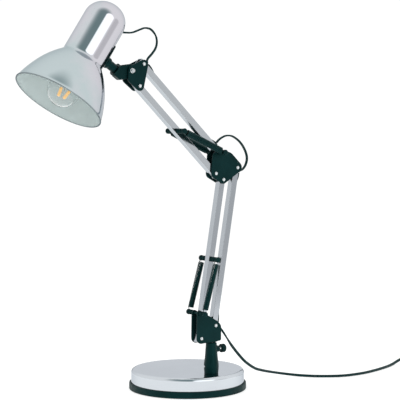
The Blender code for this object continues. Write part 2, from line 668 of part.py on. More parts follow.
def build_shade(knuckle):
    """The spun shade on its saddle and stem, with the lampholder and the bulb inside."""
    axis = pivot("shade_axis", arm_point(SHADE_ORIGIN), SHADE_LEAN, knuckle)
    outer = [(r, h - RIM_BELOW) for r, h in shade_outline()]
    inner = [(max(0.0, r - SHADE_SHEET), z - (SHADE_SHEET if r < NECK_RADIUS - 0.001 else 0.0))
             for r, z in outer]
    profile = outer[::-1] + inner
    shade = finish("shade", turned("shade", profile, 32), "shade", axis)
    hole_up = 0.1360 - RIM_BELOW
    shape = bmesh.new()
    cylinder(shape, 0.0036, (0.0290, 0.0, hole_up), (1, 0, 0), 0.0120)
    cylinder(shape, 0.0034, (0.0290, 0.0, 0.0), (1, 0, 0), 0.0120)
    cut(shade, shape, "shade_holes")

    grip = [
        (0.0034, 0.0262), (0.0034, 0.0306), (0.0048, 0.0306), (0.0048, 0.0316), (0.0036, 0.0326),
        (0.0030, 0.0332), (0.0, 0.0332), (0.0, 0.0262),
    ]
    finish("neck_grommet", turned("neck_grommet", grip[::-1], 10), "black_plastic", axis,
           (0.0, 0.0, hole_up), (0.0, math.radians(90), 0.0))

    saddle = bmesh.new()
    inside = NECK_RADIUS + GAP
    outside = inside + 0.0014
    low, high, half = -0.0117, 0.0195, math.radians(38)
    arc = [half * (2 * k / 10 - 1) for k in range(11)]
    ring = [(outside * math.cos(a), outside * math.sin(a)) for a in arc]
    ring += [(inside * math.cos(a), inside * math.sin(a)) for a in reversed(arc)]
    face = saddle.faces.new([saddle.verts.new((x, y, low)) for x, y in ring])
    grown = bmesh.ops.extrude_face_region(saddle, geom=[face])
    moved = [item for item in grown["geom"] if isinstance(item, bmesh.types.BMVert)]
    bmesh.ops.translate(saddle, verts=moved, vec=(0, 0, high - low))
    plate = finish("saddle", mesh_of("saddle", saddle), "black_enamel", axis)
    shape = bmesh.new()
    cylinder(shape, 0.0034, (0.0310, 0.0, 0.0), (1, 0, 0), 0.0100)
    cut(plate, shape, "saddle_hole")

    stem = [
        (0.0, 0.0250), (0.0052, 0.0250), (0.0052, 0.0282), (0.0030, 0.0282), (0.0030, 0.0330),
        (0.0078, 0.0330), (0.0080, 0.0376), (0.0062, 0.0384), (0.0062, 0.0492),
        (0.0030, 0.0496), (0.0030, 0.0640), (0.0, 0.0640),
    ]
    finish("stem", turned("stem", stem[::-1], 14), "black_enamel", axis,
           turn=(0.0, math.radians(90), 0.0))
    washer = [(0.0033, 0.0500), (0.0094, 0.0500), (0.0094, 0.0521), (0.0033, 0.0521)]
    finish("swivel_washer", turned("swivel_washer", washer, 16), "black_enamel", axis,
           turn=(0.0, math.radians(90), 0.0))
    build_bulb(axis)
    return axis


def build_bulb(axis):
    """The lampholder up in the neck, and a golf-ball bulb whose cap stands in it."""
    rim = -RIM_BELOW
    holder = [
        (0.0145, rim + 0.0440), (0.0190, rim + 0.0440), (0.0205, rim + 0.0560),
        (0.0205, rim + 0.0960), (0.0150, rim + 0.1080), (0.0, rim + 0.1080),
        (0.0, rim + 0.0760), (0.0145, rim + 0.0760),
    ]
    body = finish("lampholder", turned("lampholder", holder, 18), "bakelite", axis)
    boss = bmesh.new()
    box(boss, (0.0180, -0.0060, -0.0060), (0.0247, 0.0060, 0.0060))
    add_on(body, boss, "lampholder_boss")
    cap = [
        (0.0, rim + 0.0735), (0.0040, rim + 0.0735), (0.0060, rim + 0.0700), (0.0130, rim + 0.0680),
        (0.0130, rim + 0.0470), (0.0105, rim + 0.0448), (0.0, rim + 0.0448),
    ]
    finish("bulb_cap", turned("bulb_cap", cap, 14), "bulb_brass", axis)
    middle = rim + BULB_UP
    glass = [(0.0, middle - BULB_RADIUS)]
    steps = 7
    for k in range(1, steps + 1):
        angle = math.radians(148 * k / steps)
        glass.append((BULB_RADIUS * math.sin(angle), middle - BULB_RADIUS * math.cos(angle)))
    glass += [(0.0104, rim + 0.0445), (0.0, rim + 0.0445)]
    finish("bulb_glass", turned("bulb_glass", glass, 18), "bulb_glass", axis)


# ---------------------------------------------------------------- flex, switch and plug


HEAD_LOOP = [
    (-0.1440, 0.5203), (-0.1392, 0.5203), (-0.1351, 0.5204), (-0.1304, 0.5212), (-0.1257, 0.5228),
    (-0.1172, 0.5260), (-0.1103, 0.5280), (-0.1017, 0.5270), (-0.0956, 0.5226), (-0.0914, 0.5164),
    (-0.0901, 0.5086), (-0.0923, 0.5005), (-0.0984, 0.4925), (-0.1052, 0.4858), (-0.1068, 0.4820),
    (-0.1060, 0.4789),
]
ELBOW_LOOP = [
    (0.0151, 0.3671), (0.0190, 0.3708), (0.0260, 0.3748), (0.0339, 0.3770), (0.0450, 0.3755),
    (0.0580, 0.3673), (0.0674, 0.3553), (0.0712, 0.3434), (0.0684, 0.3331), (0.0625, 0.3268),
    (0.0578, 0.3252), (0.0551, 0.3232),
]
MAINS_ROUTE = [
    (0.0163, -0.0519, 0.1012), (0.0180, -0.0519, 0.0978), (0.0222, -0.0516, 0.0938),
    (0.0305, -0.0495, 0.0853),
    (0.0485, -0.0446, 0.0650), (0.0665, -0.0400, 0.0478), (0.0820, -0.0365, 0.0350),
    (0.1030, -0.0310, 0.0230), (0.1210, -0.0255, 0.0170), (0.1410, -0.0215, 0.0118),
    (0.1710, -0.0225, 0.0054), (0.1930, -0.0330, FLOOR_CORD_Z), (0.2130, -0.0560, FLOOR_CORD_Z),
    (0.2440, -0.0738, FLOOR_CORD_Z), (0.2780, -0.0766, FLOOR_CORD_Z),
    (0.3086, -0.0717, FLOOR_CORD_Z), (0.3458, -0.0603, FLOOR_CORD_Z),
    (0.3740, -0.0490, 0.0026), (0.3970, -0.0405, 0.0056),
]


def along_floor(centre, heading, forward, side, z):
    """A world point set out from a centre, forward along a heading and off to its left."""
    return (
        centre.x + forward * math.cos(heading) - side * math.sin(heading),
        centre.y + forward * math.sin(heading) + side * math.cos(heading),
        z,
    )


def build_flex(rear_axis, elbow, head):
    """The visible loops, the runs inside the rear bars and the mains lead with its coil."""
    cord("head_cord_loop", [arm_point(p) for p in HEAD_LOOP], head, 0.0040)
    cord("elbow_cord_loop", [arm_point(p) for p in ELBOW_LOOP], elbow, 0.0040)
    upper = rear_axis
    lower = bpy.data.objects["lower_rear_axis"]
    for name, parent, length in (("upper_cord_run", upper, UPPER_LENGTH),
                                 ("lower_cord_run", lower, LOWER_LENGTH)):
        world = Matrix(parent["world"])
        ends = [world @ Vector((-0.0008, 0.0, z)) for z in (0.0090, length / 2, length - 0.0090)]
        cord(name, ends, parent, 0.03)

    z = 0.0085
    switch_in = along_floor(SWITCH_CENTRE, SWITCH_HEADING, -SWITCH_HALF - GAP, 0.0, z)
    lead_in = along_floor(SWITCH_CENTRE, SWITCH_HEADING, -SWITCH_HALF - 0.011, 0.0, z - 0.0003)
    cord("mains_cord", MAINS_ROUTE + [lead_in, switch_in], None, 0.0105)
    switch_out = along_floor(SWITCH_CENTRE, SWITCH_HEADING, SWITCH_HALF + GAP, 0.0, z)
    lead_out = along_floor(SWITCH_CENTRE, SWITCH_HEADING, SWITCH_HALF + 0.009, 0.0, z - 0.0004)
    wrap = [beside_coil(degrees, 0.0050) for degrees in (98, 90, 82, 74, 66)]
    cord("coil_lead", [switch_out, lead_out] + wrap, None, 0.0060)
    ring = [
        (COIL_RADIUS - COIL_BAND, 0.0018), (COIL_RADIUS - COIL_BAND + 0.0015, 0.0003),
        (COIL_RADIUS + COIL_BAND - 0.0015, 0.0003), (COIL_RADIUS + COIL_BAND, 0.0018),
        (COIL_RADIUS + COIL_BAND, COIL_HEIGHT - 0.0018), (COIL_RADIUS + COIL_BAND - 0.002, COIL_HEIGHT),
        (COIL_RADIUS - COIL_BAND + 0.002, COIL_HEIGHT), (COIL_RADIUS - COIL_BAND, COIL_HEIGHT - 0.0018),
    ]
    finish("cord_coil", turned("cord_coil", ring, 24), "flex", at=(*COIL_CENTRE, 0.0))
    build_tie()
    plug_back = along_floor(PLUG_CENTRE, PLUG_HEADING, -0.0190 - GAP, 0.0, 0.0072)
    plug_lead = along_floor(PLUG_CENTRE, PLUG_HEADING, -0.0300, 0.0, 0.0071)
    wrap = [beside_coil(degrees, 0.0050) for degrees in (-16, -26, -36, -46, -56)]
    cord("plug_lead", wrap + [(0.5220, -0.1268, 0.0062), plug_lead, plug_back], None, 0.0060)


def beside_coil(degrees, z):
    """A point where a flex lies against the outside of the coil."""
    reach = COIL_RADIUS + COIL_BAND + CORD_RADIUS + 2 * GAP
    angle = math.radians(degrees)
    return (COIL_CENTRE.x + reach * math.cos(angle), COIL_CENTRE.y + reach * math.sin(angle), z)


def build_tie():
    """A paper-and-wire tie round one side of the coil."""
    outside = 0.0008
    shape = bmesh.new()
    low, high = COIL_RADIUS - COIL_BAND - GAP, COIL_RADIUS + COIL_BAND + GAP
    box(shape, (-high - outside, -0.0020, 0.0), (-low + outside, 0.0020, COIL_HEIGHT + GAP + outside))
    tie = finish("cord_tie", mesh_of("cord_tie", shape), "black_plastic", at=(*COIL_CENTRE, 0.0))
    hole = bmesh.new()
    box(hole, (-high, -0.0030, -0.0010), (-low, 0.0030, COIL_HEIGHT + GAP))
    cut(tie, hole, "cord_tie_hole")


def rounded_block(name, half_x, half_y, low, high, width, segments, look, at, turn):
    shape = bmesh.new()
    box(shape, (-half_x, -half_y, low), (half_x, half_y, high))
    made = finish(name, mesh_of(name, shape), look, at=at, turn=turn)
    bevel = made.modifiers.new("round", "BEVEL")
    bevel.width = width
    bevel.segments = segments
    return made


def build_switch():
    """An in-line switch: a case with a well in its top, and a rocker in the well."""
    heading = (0.0, 0.0, SWITCH_HEADING)
    case = rounded_block("switch_case", SWITCH_HALF, 0.0118, 0.0, 0.0165, 0.0035, 2,
                         "black_plastic", (*SWITCH_CENTRE, 0.0), heading)
    well = bmesh.new()
    box(well, (-0.0105, -0.0052, 0.0080), (0.0105, 0.0052, 0.0200))
    cut(case, well, "switch_well")
    centre = Vector((*SWITCH_CENTRE, 0.0138))
    axis = pivot("rocker_axis", centre)
    axis.rotation_euler = heading
    half, high, dip = 0.0098, 0.0046, 0.0026
    outline = [(-half, -0.0020), (half, -0.0034), (half, dip), (0.0, high - 0.0024), (-half, high)]
    rocker = finish("switch_rocker", extruded("switch_rocker", outline, -0.0047, 0.0047),
                    "black_plastic", axis)
    bevel = rocker.modifiers.new("round", "BEVEL")
    bevel.width = 0.0005
    bevel.segments = 1


def build_plug():
    """A flat two-pin plug lying beside the coil."""
    turn = (0.0, 0.0, PLUG_HEADING)
    shape = bmesh.new()
    outline = [(-0.0190, 0.0042), (-0.0150, 0.0065), (0.0040, 0.0130), (0.0130, 0.0172),
               (0.0165, 0.0172), (0.0165, -0.0172), (0.0130, -0.0172), (0.0040, -0.0130),
               (-0.0150, -0.0065), (-0.0190, -0.0042)]
    face = shape.faces.new([shape.verts.new((x, y, 0.0)) for x, y in outline])
    grown = bmesh.ops.extrude_face_region(shape, geom=[face])
    moved = [item for item in grown["geom"] if isinstance(item, bmesh.types.BMVert)]
    bmesh.ops.translate(shape, verts=moved, vec=(0, 0, 0.0138))
    body = finish("plug_body", mesh_of("plug_body", shape), "black_plastic",
                  at=(*PLUG_CENTRE, 0.0), turn=turn)
    bevel = body.modifiers.new("round", "BEVEL")
    bevel.width = 0.0018
    bevel.segments = 2
    pins = bmesh.new()
    for side in (-0.0093, 0.0093):
        cylinder(pins, 0.0020, (0.0250, side, 0.0069), (1, 0, 0), 0.0220, 12)
    add_on(body, pins, "plug_pins")


def main():
    clear_scene()
    build_base()
    build_post()
    rear_axis, elbow, head, head_rear, tilt = build_linkage()
    knuckle = build_tilt_joint(head, head_rear, tilt)
    build_shade(knuckle)
    build_flex(rear_axis, elbow, head)
    build_switch()
    build_plug()


main()
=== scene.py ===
"""The look of a chrome swing arm desk lamp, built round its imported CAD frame.

Lengths are in metres. The arm moves in the plane y = POST_Y, with +X from the shade towards the
elbow and +Z up.
"""

import math

import bmesh
import bpy
from mathutils import Matrix, Vector


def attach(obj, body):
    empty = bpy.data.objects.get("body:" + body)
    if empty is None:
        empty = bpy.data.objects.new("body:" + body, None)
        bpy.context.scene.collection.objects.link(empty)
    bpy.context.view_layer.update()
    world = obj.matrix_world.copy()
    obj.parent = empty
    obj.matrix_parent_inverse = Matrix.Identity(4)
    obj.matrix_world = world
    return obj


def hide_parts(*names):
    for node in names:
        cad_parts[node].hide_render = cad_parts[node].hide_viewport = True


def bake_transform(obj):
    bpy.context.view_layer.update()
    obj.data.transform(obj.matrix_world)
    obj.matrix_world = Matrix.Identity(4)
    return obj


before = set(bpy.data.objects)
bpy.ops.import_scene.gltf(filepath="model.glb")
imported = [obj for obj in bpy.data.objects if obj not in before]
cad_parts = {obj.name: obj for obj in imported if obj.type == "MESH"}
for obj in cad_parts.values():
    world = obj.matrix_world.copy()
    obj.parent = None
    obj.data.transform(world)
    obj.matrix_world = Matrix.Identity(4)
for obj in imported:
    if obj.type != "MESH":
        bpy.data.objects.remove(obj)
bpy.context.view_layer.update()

# ---------------------------------------------------------------- dimensions, as in the CAD

BASE_RADIUS = 0.0875
RING_HEIGHT = 0.0097
COVER_RADIUS = 0.0846
BASE_HEIGHT = 0.0292
SHEET = 0.001
POST_X = 0.0056
POST_Y = -0.0519
POST_TOP = 0.0742
NOTCH_TURN = math.radians(144)
CLAMP_HEIGHT = 0.0640
TUBE = 0.0096
TUBE_WALL = 0.0008
TUBE_PAST_PIVOT = 0.0062
PLATE_INNER = 0.0053
PLATE_OUTER = 0.0078
GAP = 0.0003
LOWER_LENGTH = 0.2336
LOWER_LEAN = math.radians(9.85)
UPPER_LENGTH = 0.1818
UPPER_LEAN = math.radians(-46.71)
SPRING_Y = 0.0180
PIN_HALF = 0.0224
LOWER_PIN_ALONG = 0.1163
UPPER_PIN_ALONG = 0.0900
SHADE_LEAN = math.radians(34.0)
RIM_BELOW = 0.0877
NECK_RADIUS = 0.0298
SHADE_LENGTH = 0.1586
DOME_DEPTH = 0.0272
BOWL_CURVE = (
    (0.0, 0.0647), (0.0130, 0.0612), (0.0260, 0.0565), (0.0390, 0.0506), (0.0500, 0.0441),
    (0.0590, 0.0376), (0.0650, 0.0325), (0.0683, 0.0303), (0.0715, 0.0298),
)
SHADE_SHEET = 0.0009
BULB_RADIUS = 0.0225
BULB_UP = 0.0170
FILAMENT_TURN = math.radians(-41)
KNUCKLE_FACE = 0.0525
CORD_HOLE_UP = 0.1360 - RIM_BELOW
LOWER_COIL_RADIUS = 0.0039
UPPER_COIL_RADIUS = 0.0045
SPRING_WIRE = 0.00056
SPRING_PITCH = 0.00120
SPRING_LENGTHS = 5
HOOK_RADIUS = 0.0033
HOOK_REACH = 0.0066
ALONG_X = Matrix.Rotation(math.pi / 2, 4, "Y")


def step(length, lean):
    return Vector((length * math.sin(lean), length * math.cos(lean)))


YOKE_PIN = Vector((-0.0204, 0.1196))
YOKE_FRONT = Vector((-0.0175, 0.0828))
YOKE_REAR = YOKE_FRONT + Vector((0.0258, 0.0170))
ELBOW_FRONT = YOKE_FRONT + step(LOWER_LENGTH, LOWER_LEAN)
ELBOW_REAR = YOKE_REAR + step(LOWER_LENGTH, LOWER_LEAN)
UPPER_FRONT = ELBOW_FRONT + Vector((-0.0137, 0.0092))
UPPER_REAR = UPPER_FRONT + Vector((0.0068, 0.0307))
HEAD_FRONT = UPPER_FRONT + step(UPPER_LENGTH, UPPER_LEAN)
HEAD_REAR = UPPER_REAR + step(UPPER_LENGTH, UPPER_LEAN)
TILT = HEAD_FRONT + Vector((-0.0132, 0.0208))
LOWER_PIN = YOKE_FRONT + step(LOWER_PIN_ALONG, LOWER_LEAN)
UPPER_PIN = UPPER_FRONT + step(UPPER_PIN_ALONG, UPPER_LEAN)
SHADE_ORIGIN = Vector((-0.2020, 0.4976))


def arm(flat, lean=0.0, y=0.0):
    """The world matrix of an (x, z) spot in the arm's plane, its local Z leaning towards +X."""
    return Matrix.Translation((flat[0], POST_Y + y, flat[1])) @ Matrix.Rotation(lean, 4, "Y")


def across(flat):
    """As arm, with local Z along -Y, for pieces turned about a cross pin."""
    return arm(flat) @ Matrix.Rotation(math.radians(90), 4, "X")


SHADE_FRAME = arm(SHADE_ORIGIN, SHADE_LEAN)
STEM_FRAME = SHADE_FRAME @ ALONG_X

# ---------------------------------------------------------------- camera

scene = bpy.context.scene
camera_data = bpy.data.cameras.new("camera")
camera_data.lens = 123.2
camera_data.sensor_width = 36.0
camera_data.clip_end = 30.0
camera = bpy.data.objects.new("camera", camera_data)
camera.location = (-1.1825, -1.6513, 0.3954)
camera.rotation_euler = (math.radians(90 - 3.22), 0.0, math.radians(-36.13))
scene.collection.objects.link(camera)
scene.camera = camera

# ---------------------------------------------------------------- materials


def node_material(name, **constants):
    made = bpy.data.materials.new(name)
    made.use_nodes = True
    shader = made.node_tree.nodes["Principled BSDF"]
    for key, value in constants.items():
        socket = shader.inputs[key.replace("_", " ")]
        socket.default_value = (*value, 1.0) if isinstance(value, tuple) else value
    return made, shader


def noise(tree, scale, detail=3.0, stretch=None):
    """A noise value in object coordinates, stretched along an axis if asked."""
    coordinates = tree.nodes.new("ShaderNodeTexCoord")
    out = coordinates.outputs["Object"]
    if stretch:
        mapping = tree.nodes.new("ShaderNodeMapping")
        mapping.inputs["Scale"].default_value = stretch
        tree.links.new(out, mapping.inputs["Vector"])
        out = mapping.outputs["Vector"]
    texture = tree.nodes.new("ShaderNodeTexNoise")
    texture.inputs["Scale"].default_value = scale
    texture.inputs["Detail"].default_value = detail
    tree.links.new(out, texture.inputs["Vector"])
    return texture.outputs["Fac"]


def ranged(tree, value, low, high):
    spread = tree.nodes.new("ShaderNodeMapRange")
    spread.inputs["From Min"].default_value = 0.3
    spread.inputs["From Max"].default_value = 0.7
    spread.inputs["To Min"].default_value = low
    spread.inputs["To Max"].default_value = high
    tree.links.new(value, spread.inputs["Value"])
    return spread.outputs["Result"]


def mixed(tree, value, first, second):
    ramp = tree.nodes.new("ShaderNodeValToRGB")
    ramp.color_ramp.elements[0].position = 0.35
    ramp.color_ramp.elements[1].position = 0.65
    ramp.color_ramp.elements[0].color = (*first, 1.0)
    ramp.color_ramp.elements[1].color = (*second, 1.0)
    tree.links.new(value, ramp.inputs["Fac"])
    return ramp.outputs["Color"]


def drifting(tree, value, middle, per_metre):
    """The value, growing along X from the place where it is left as it is."""
    along = tree.nodes.new("ShaderNodeVectorMath")
    along.operation = "DOT_PRODUCT"
    along.inputs[1].default_value = (per_metre, 0.0, 0.0)
    coordinates = tree.nodes.new("ShaderNodeTexCoord")
    tree.links.new(coordinates.outputs["Object"], along.inputs[0])
    total = tree.nodes.new("ShaderNodeMath")
    total.operation = "ADD"
    total.inputs[1].default_value = -middle * per_metre
    tree.links.new(along.outputs["Value"], total.inputs[0])
    both = tree.nodes.new("ShaderNodeMath")
    both.operation = "ADD"
    tree.links.new(total.outputs[0], both.inputs[0])
    tree.links.new(value, both.inputs[1])
    return both.outputs[0]


def bumped(tree, shader, value, strength, distance):
    bump = tree.nodes.new("ShaderNodeBump")
    bump.inputs["Strength"].default_value = strength
    bump.inputs["Distance"].default_value = distance
    tree.links.new(value, bump.inputs["Height"])
    tree.links.new(bump.outputs["Normal"], shader.inputs["Normal"])


def chrome(name, colour, low, high, edge=(0.45, 0.47, 0.50), ripple=0.02, reflection_tint=None):
    """Plated steel: mirror bright, with faint polishing haze and a barely rippled surface. Given a
    second colour, the base colour drifts along X towards it, which is a painted reflection.
    """
    made, shader = node_material(name, Metallic=1.0, Specular_Tint=edge)
    tree = made.node_tree
    paler = reflection_tint or tuple(min(1.0, c * 1.05) for c in colour)
    cloud = noise(tree, 18.0)
    if reflection_tint:
        cloud = drifting(tree, cloud, *REFLECTION_DRIFT)
    tree.links.new(mixed(tree, cloud, colour, paler), shader.inputs["Base Color"])
    tree.links.new(ranged(tree, noise(tree, 60.0, 5.0), low, high), shader.inputs["Roughness"])
    bumped(tree, shader, noise(tree, 35.0, 1.0), ripple, 0.0004)
    return made


def black(name, colour, low, high, specular, grain_scale, grain, coat=0.0):
    """Teal-black finish: enamel or moulded plastic, by its grain and gloss."""
    made, shader = node_material(
        name, Specular_IOR_Level=specular, Specular_Tint=(0.25, 0.85, 0.85), Coat_Weight=coat,
        Coat_Roughness=0.15,
    )
    tree = made.node_tree
    paler = tuple(c * 1.5 for c in colour)
    tree.links.new(mixed(tree, noise(tree, 45.0), colour, paler), shader.inputs["Base Color"])
    tree.links.new(ranged(tree, noise(tree, 130.0), low, high), shader.inputs["Roughness"])
    bumped(tree, shader, noise(tree, grain_scale, 4.0), grain, 0.0002)
    return made


def plain(name, colour, metallic, low, high, grain_scale=300.0, grain=0.1):
    made, shader = node_material(name, Metallic=metallic)
    tree = made.node_tree
    paler = tuple(min(1.0, c * 1.06) for c in colour)
    tree.links.new(mixed(tree, noise(tree, 60.0), colour, paler), shader.inputs["Base Color"])
    tree.links.new(ranged(tree, noise(tree, 90.0), low, high), shader.inputs["Roughness"])
    bumped(tree, shader, noise(tree, grain_scale), grain, 0.0002)
    return made


def glass():
    made, shader = node_material(
        "bulb_envelope", Base_Color=(0.985, 0.99, 0.99), IOR=1.45, Transmission_Weight=1.0,
    )
    tree = made.node_tree
    tree.links.new(ranged(tree, noise(tree, 20.0), 0.0, 0.02), shader.inputs["Roughness"])
    return made


def filament():
    made, shader = node_material(
        "filament_glow", Emission_Color=(1.0, 0.60, 0.25), Emission_Strength=0.5, Roughness=0.5,
    )
    tree = made.node_tree
    colour = mixed(tree, noise(tree, 700.0), (0.85, 0.45, 0.10), (1.0, 0.62, 0.20))
    tree.links.new(colour, shader.inputs["Base Color"])
    return made


BLACK = (0.0012, 0.0105, 0.0110)
# Where and how fast the lamp shade's painted reflection drifts from teal to lilac along X.
REFLECTION_DRIFT = (-0.236, 5.0)
LOOKS = {
    "chrome_base": chrome("chrome_base", (0.585, 0.620, 0.655), 0.03, 0.08, (0.68, 0.70, 0.73)),
    "chrome_bar": chrome("chrome_bar", (0.57, 0.605, 0.63), 0.10, 0.17, ripple=0.03),
    # The lower bars get a darker copy of the bar chrome: painted shade, standing for the darker
    # reflections they carry.
    "chrome_painted_shade": chrome("chrome_painted_shade", (0.435, 0.465, 0.495), 0.10, 0.17, ripple=0.03),
    # The lamp shade's chrome drifts from teal to lilac along X: a painted reflection.
    "chrome_shade": chrome("chrome_shade", (0.51, 0.585, 0.60), 0.03, 0.08, (0.62, 0.66, 0.68),
                           0.05, reflection_tint=(0.62, 0.61, 0.655)),
    # A dark chrome for the shade's rolled lip: a painted reflection of dark surroundings, outlining
    # the rim.
    "rim": chrome("rim", (0.24, 0.28, 0.29), 0.10, 0.20),
    "shade_inside": plain("shade_inside", (0.58, 0.66, 0.655), 0.0, 0.35, 0.5, 500.0, 0.02),
    "enamel": black("enamel", BLACK, 0.30, 0.42, 0.18, 260.0, 0.10),
    "plastic": black("plastic", BLACK, 0.45, 0.60, 0.18, 600.0, 0.25),
    "spring_black": black("spring_black", BLACK, 0.25, 0.35, 0.35, 300.0, 0.08),
    "flex": black("flex", BLACK, 0.42, 0.55, 0.22, 700.0, 0.15),
    "steel": plain("steel", (0.66, 0.70, 0.71), 1.0, 0.18, 0.30, 400.0, 0.05),
    "iron": plain("iron", (0.05, 0.05, 0.05), 0.6, 0.6, 0.85, 200.0, 0.5),
    "felt": plain("felt", (0.025, 0.028, 0.028), 0.0, 0.85, 0.98, 900.0, 0.6),
    "bakelite": plain("bakelite", (0.62, 0.65, 0.63), 0.0, 0.3, 0.45, 300.0, 0.05),
    "nickel": plain("nickel", (0.60, 0.58, 0.52), 1.0, 0.15, 0.3, 300.0, 0.05),
    "brass": plain("brass", (0.70, 0.55, 0.28), 1.0, 0.2, 0.35, 300.0, 0.05),
    "ceramic": plain("ceramic", (0.75, 0.76, 0.74), 0.0, 0.3, 0.45, 300.0, 0.03),
    "glass": glass(),
    "filament": filament(),
}

# ---------------------------------------------------------------- shape helpers


def mesh_from(name, shape):
    mesh = bpy.data.meshes.new(name)
    shape.to_mesh(mesh)
    shape.free()
    return mesh


def placed(name, data):
    made = bpy.data.objects.new(name, data)
    scene.collection.objects.link(made)
    return made


def make(name, shape, look, body, stands_for=(), at=None, bevel=0.0, segments=3, angle=32.0,
         others=()):
    """Turn a bmesh into a named piece that rides on a body."""
    bmesh.ops.remove_doubles(shape, verts=shape.verts, dist=1e-7)
    bmesh.ops.recalc_face_normals(shape, faces=shape.faces)
    mesh = mesh_from(name, shape)
    if at:
        mesh.transform(at)
    for kind in (look, *others):
        mesh.materials.append(LOOKS[kind])
    mesh.shade_smooth()
    mesh.set_sharp_from_angle(angle=math.radians(angle))
    piece = placed(name, mesh)
    if bevel:
        edge = piece.modifiers.new("edge", "BEVEL")
        edge.width = bevel
        edge.segments = segments
        edge.limit_method = "ANGLE"
        edge.angle_limit = math.radians(angle)
        edge.harden_normals = True
    else:
        even = piece.modifiers.new("normals", "WEIGHTED_NORMAL")
        even.keep_sharp = True
    if body:
        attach(piece, body)
    if stands_for:
        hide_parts(*stands_for)
    return piece


def rounded(points, closed=True, steps=6):
    """Round the corners of an outline whose points are (x, y) or (x, y, radius)."""
    out = []
    count = len(points)
    for index, point in enumerate(points):
        radius = point[2] if len(point) > 2 else 0.0
        here = Vector(point[:2])
        if not radius or (not closed and index in (0, count - 1)):
            out.append(tuple(here))
            continue
        before = Vector(points[index - 1][:2]) - here
        after = Vector(points[(index + 1) % count][:2]) - here
        first = here + before.normalized() * min(radius, before.length * 0.49)
        last = here + after.normalized() * min(radius, after.length * 0.49)
        for k in range(steps + 1):
            t = k / steps
            out.append(tuple(first * (1 - t) ** 2 + here * 2 * t * (1 - t) + last * t ** 2))
    return out


def smooth_curve(points, per_step=6):
    """A Catmull-Rom curve through the points, at per_step spaces to a step."""
    route = [Vector(p) for p in points]
    padded = [route[0] * 2 - route[1]] + route + [route[-1] * 2 - route[-2]]
    fine = []
    for a, b, c, d in zip(padded, padded[1:], padded[2:], padded[3:]):
        for k in range(per_step):
            t = k / per_step
            fine.append(0.5 * (
                2 * b + (c - a) * t + (2 * a - 5 * b + 4 * c - d) * t ** 2
                + (3 * b - a - 3 * c + d) * t ** 3
            ))
    return fine + [route[-1]]


def evenly(points, spacing):
    """The same line with its points an even distance apart."""
    total = sum((q - p).length for p, q in zip(points, points[1:]))
    count = max(2, round(total / spacing))
    even = [points[0]]
    walked = 0.0
    for p, q in zip(points, points[1:]):
        span = (q - p).length
        while len(even) < count and walked + span >= total * len(even) / count:
            even.append(p.lerp(q, (total * len(even) / count - walked) / span))
        walked += span
    return even + [points[-1]]


def spin(profile, steps=64, bands=()):
    """Spin a closed (radius, z) outline about Z. Bands give (first span, material) in order."""
    shape = bmesh.new()
    rings = []
    for radius, z in profile:
        if radius < 1e-7:
            rings.append([shape.verts.new((0.0, 0.0, z))])
        else:
            rings.append([
                shape.verts.new((radius * math.cos(math.tau * k / steps),
                                 radius * math.sin(math.tau * k / steps), z))
                for k in range(steps)
            ])
    for index, (a, b) in enumerate(zip(rings, rings[1:] + rings[:1])):
        if len(a) == 1 and len(b) == 1:
            continue
        for k in range(steps):
            n = (k + 1) % steps
            corners = [a[k % len(a)], a[n % len(a)], b[n % len(b)], b[k % len(b)]]
            face = shape.faces.new(list(dict.fromkeys(corners)))
            for first, look in bands:
                if index >= first:
                    face.material_index = look
    return shape


def pushed(points, way):
    """A flat face through the points, pushed out into a solid."""
    shape = bmesh.new()
    face = shape.faces.new([shape.verts.new(p) for p in points])
    grown = bmesh.ops.extrude_face_region(shape, geom=[face])
    moved = [item for item in grown["geom"] if isinstance(item, bmesh.types.BMVert)]
    bmesh.ops.translate(shape, verts=moved, vec=way)
    return shape


def extrude(outline, low, high):
    """Extrude an (x, z) outline along Y."""
    return pushed([(x, low, z) for x, z in outline], (0.0, high - low, 0.0))


def hull(circles, steps=64):
    """The outline of a band stretched round (x, z, radius) circles."""
    cloud = []
    for x, z, radius in circles:
        for k in range(steps):
            turn = math.tau * k / steps
            cloud.append((x + radius * math.cos(turn), z + radius * math.sin(turn)))
    cloud.sort()

    def half(points):
        chain = []
        for point in points:
            while len(chain) > 1 and cross(chain[-2], chain[-1], point) <= 1e-12:
                chain.pop()
            chain.append(point)
        return chain[:-1]

    return half(cloud) + half(cloud[::-1])


def cross(a, b, c):
    return (b[0] - a[0]) * (c[1] - a[1]) - (b[1] - a[1]) * (c[0] - a[0])


def box(low, high):
    shape = bmesh.new()
    size = Vector(high) - Vector(low)
    middle = (Vector(high) + Vector(low)) / 2
    bmesh.ops.create_cube(
        shape, size=1.0, matrix=Matrix.Translation(middle) @ Matrix.Diagonal((*size, 1.0))
    )
    return shape


def loft(shape, rings, caps=2):
    """Join rings of vertices into a skin, then close its first end, or both."""
    for a, b in zip(rings, rings[1:]):
        for k in range(len(a)):
            n = (k + 1) % len(a)
            shape.faces.new((a[k], a[n], b[n], b[k]))
    if caps > 0:
        shape.faces.new(rings[0][::-1])
    if caps > 1:
        shape.faces.new(rings[-1])


def heading(path, index):
    return (path[min(index + 1, len(path) - 1)] - path[max(index - 1, 0)]).normalized()


def sweep(path, section, side, shape=None, grow=None):
    """Carry a closed section along a path. side(share) gives the section's first direction."""
    shape = shape or bmesh.new()
    path = [Vector(p) for p in path]
    last = len(path) - 1
    rings = []
    for index, place in enumerate(path):
        ahead = heading(path, index)
        share = index / last
        wide = side(share)
        wide = (wide - ahead * wide.dot(ahead)).normalized()
        high = ahead.cross(wide)
        scale = grow(share) if grow else 1.0
        rings.append([shape.verts.new(place + (wide * a + high * b) * scale) for a, b in section])
    loft(shape, rings)
    return shape


def round_section(radius, steps=12):
    return [(radius * math.cos(math.tau * k / steps), radius * math.sin(math.tau * k / steps))
            for k in range(steps)]


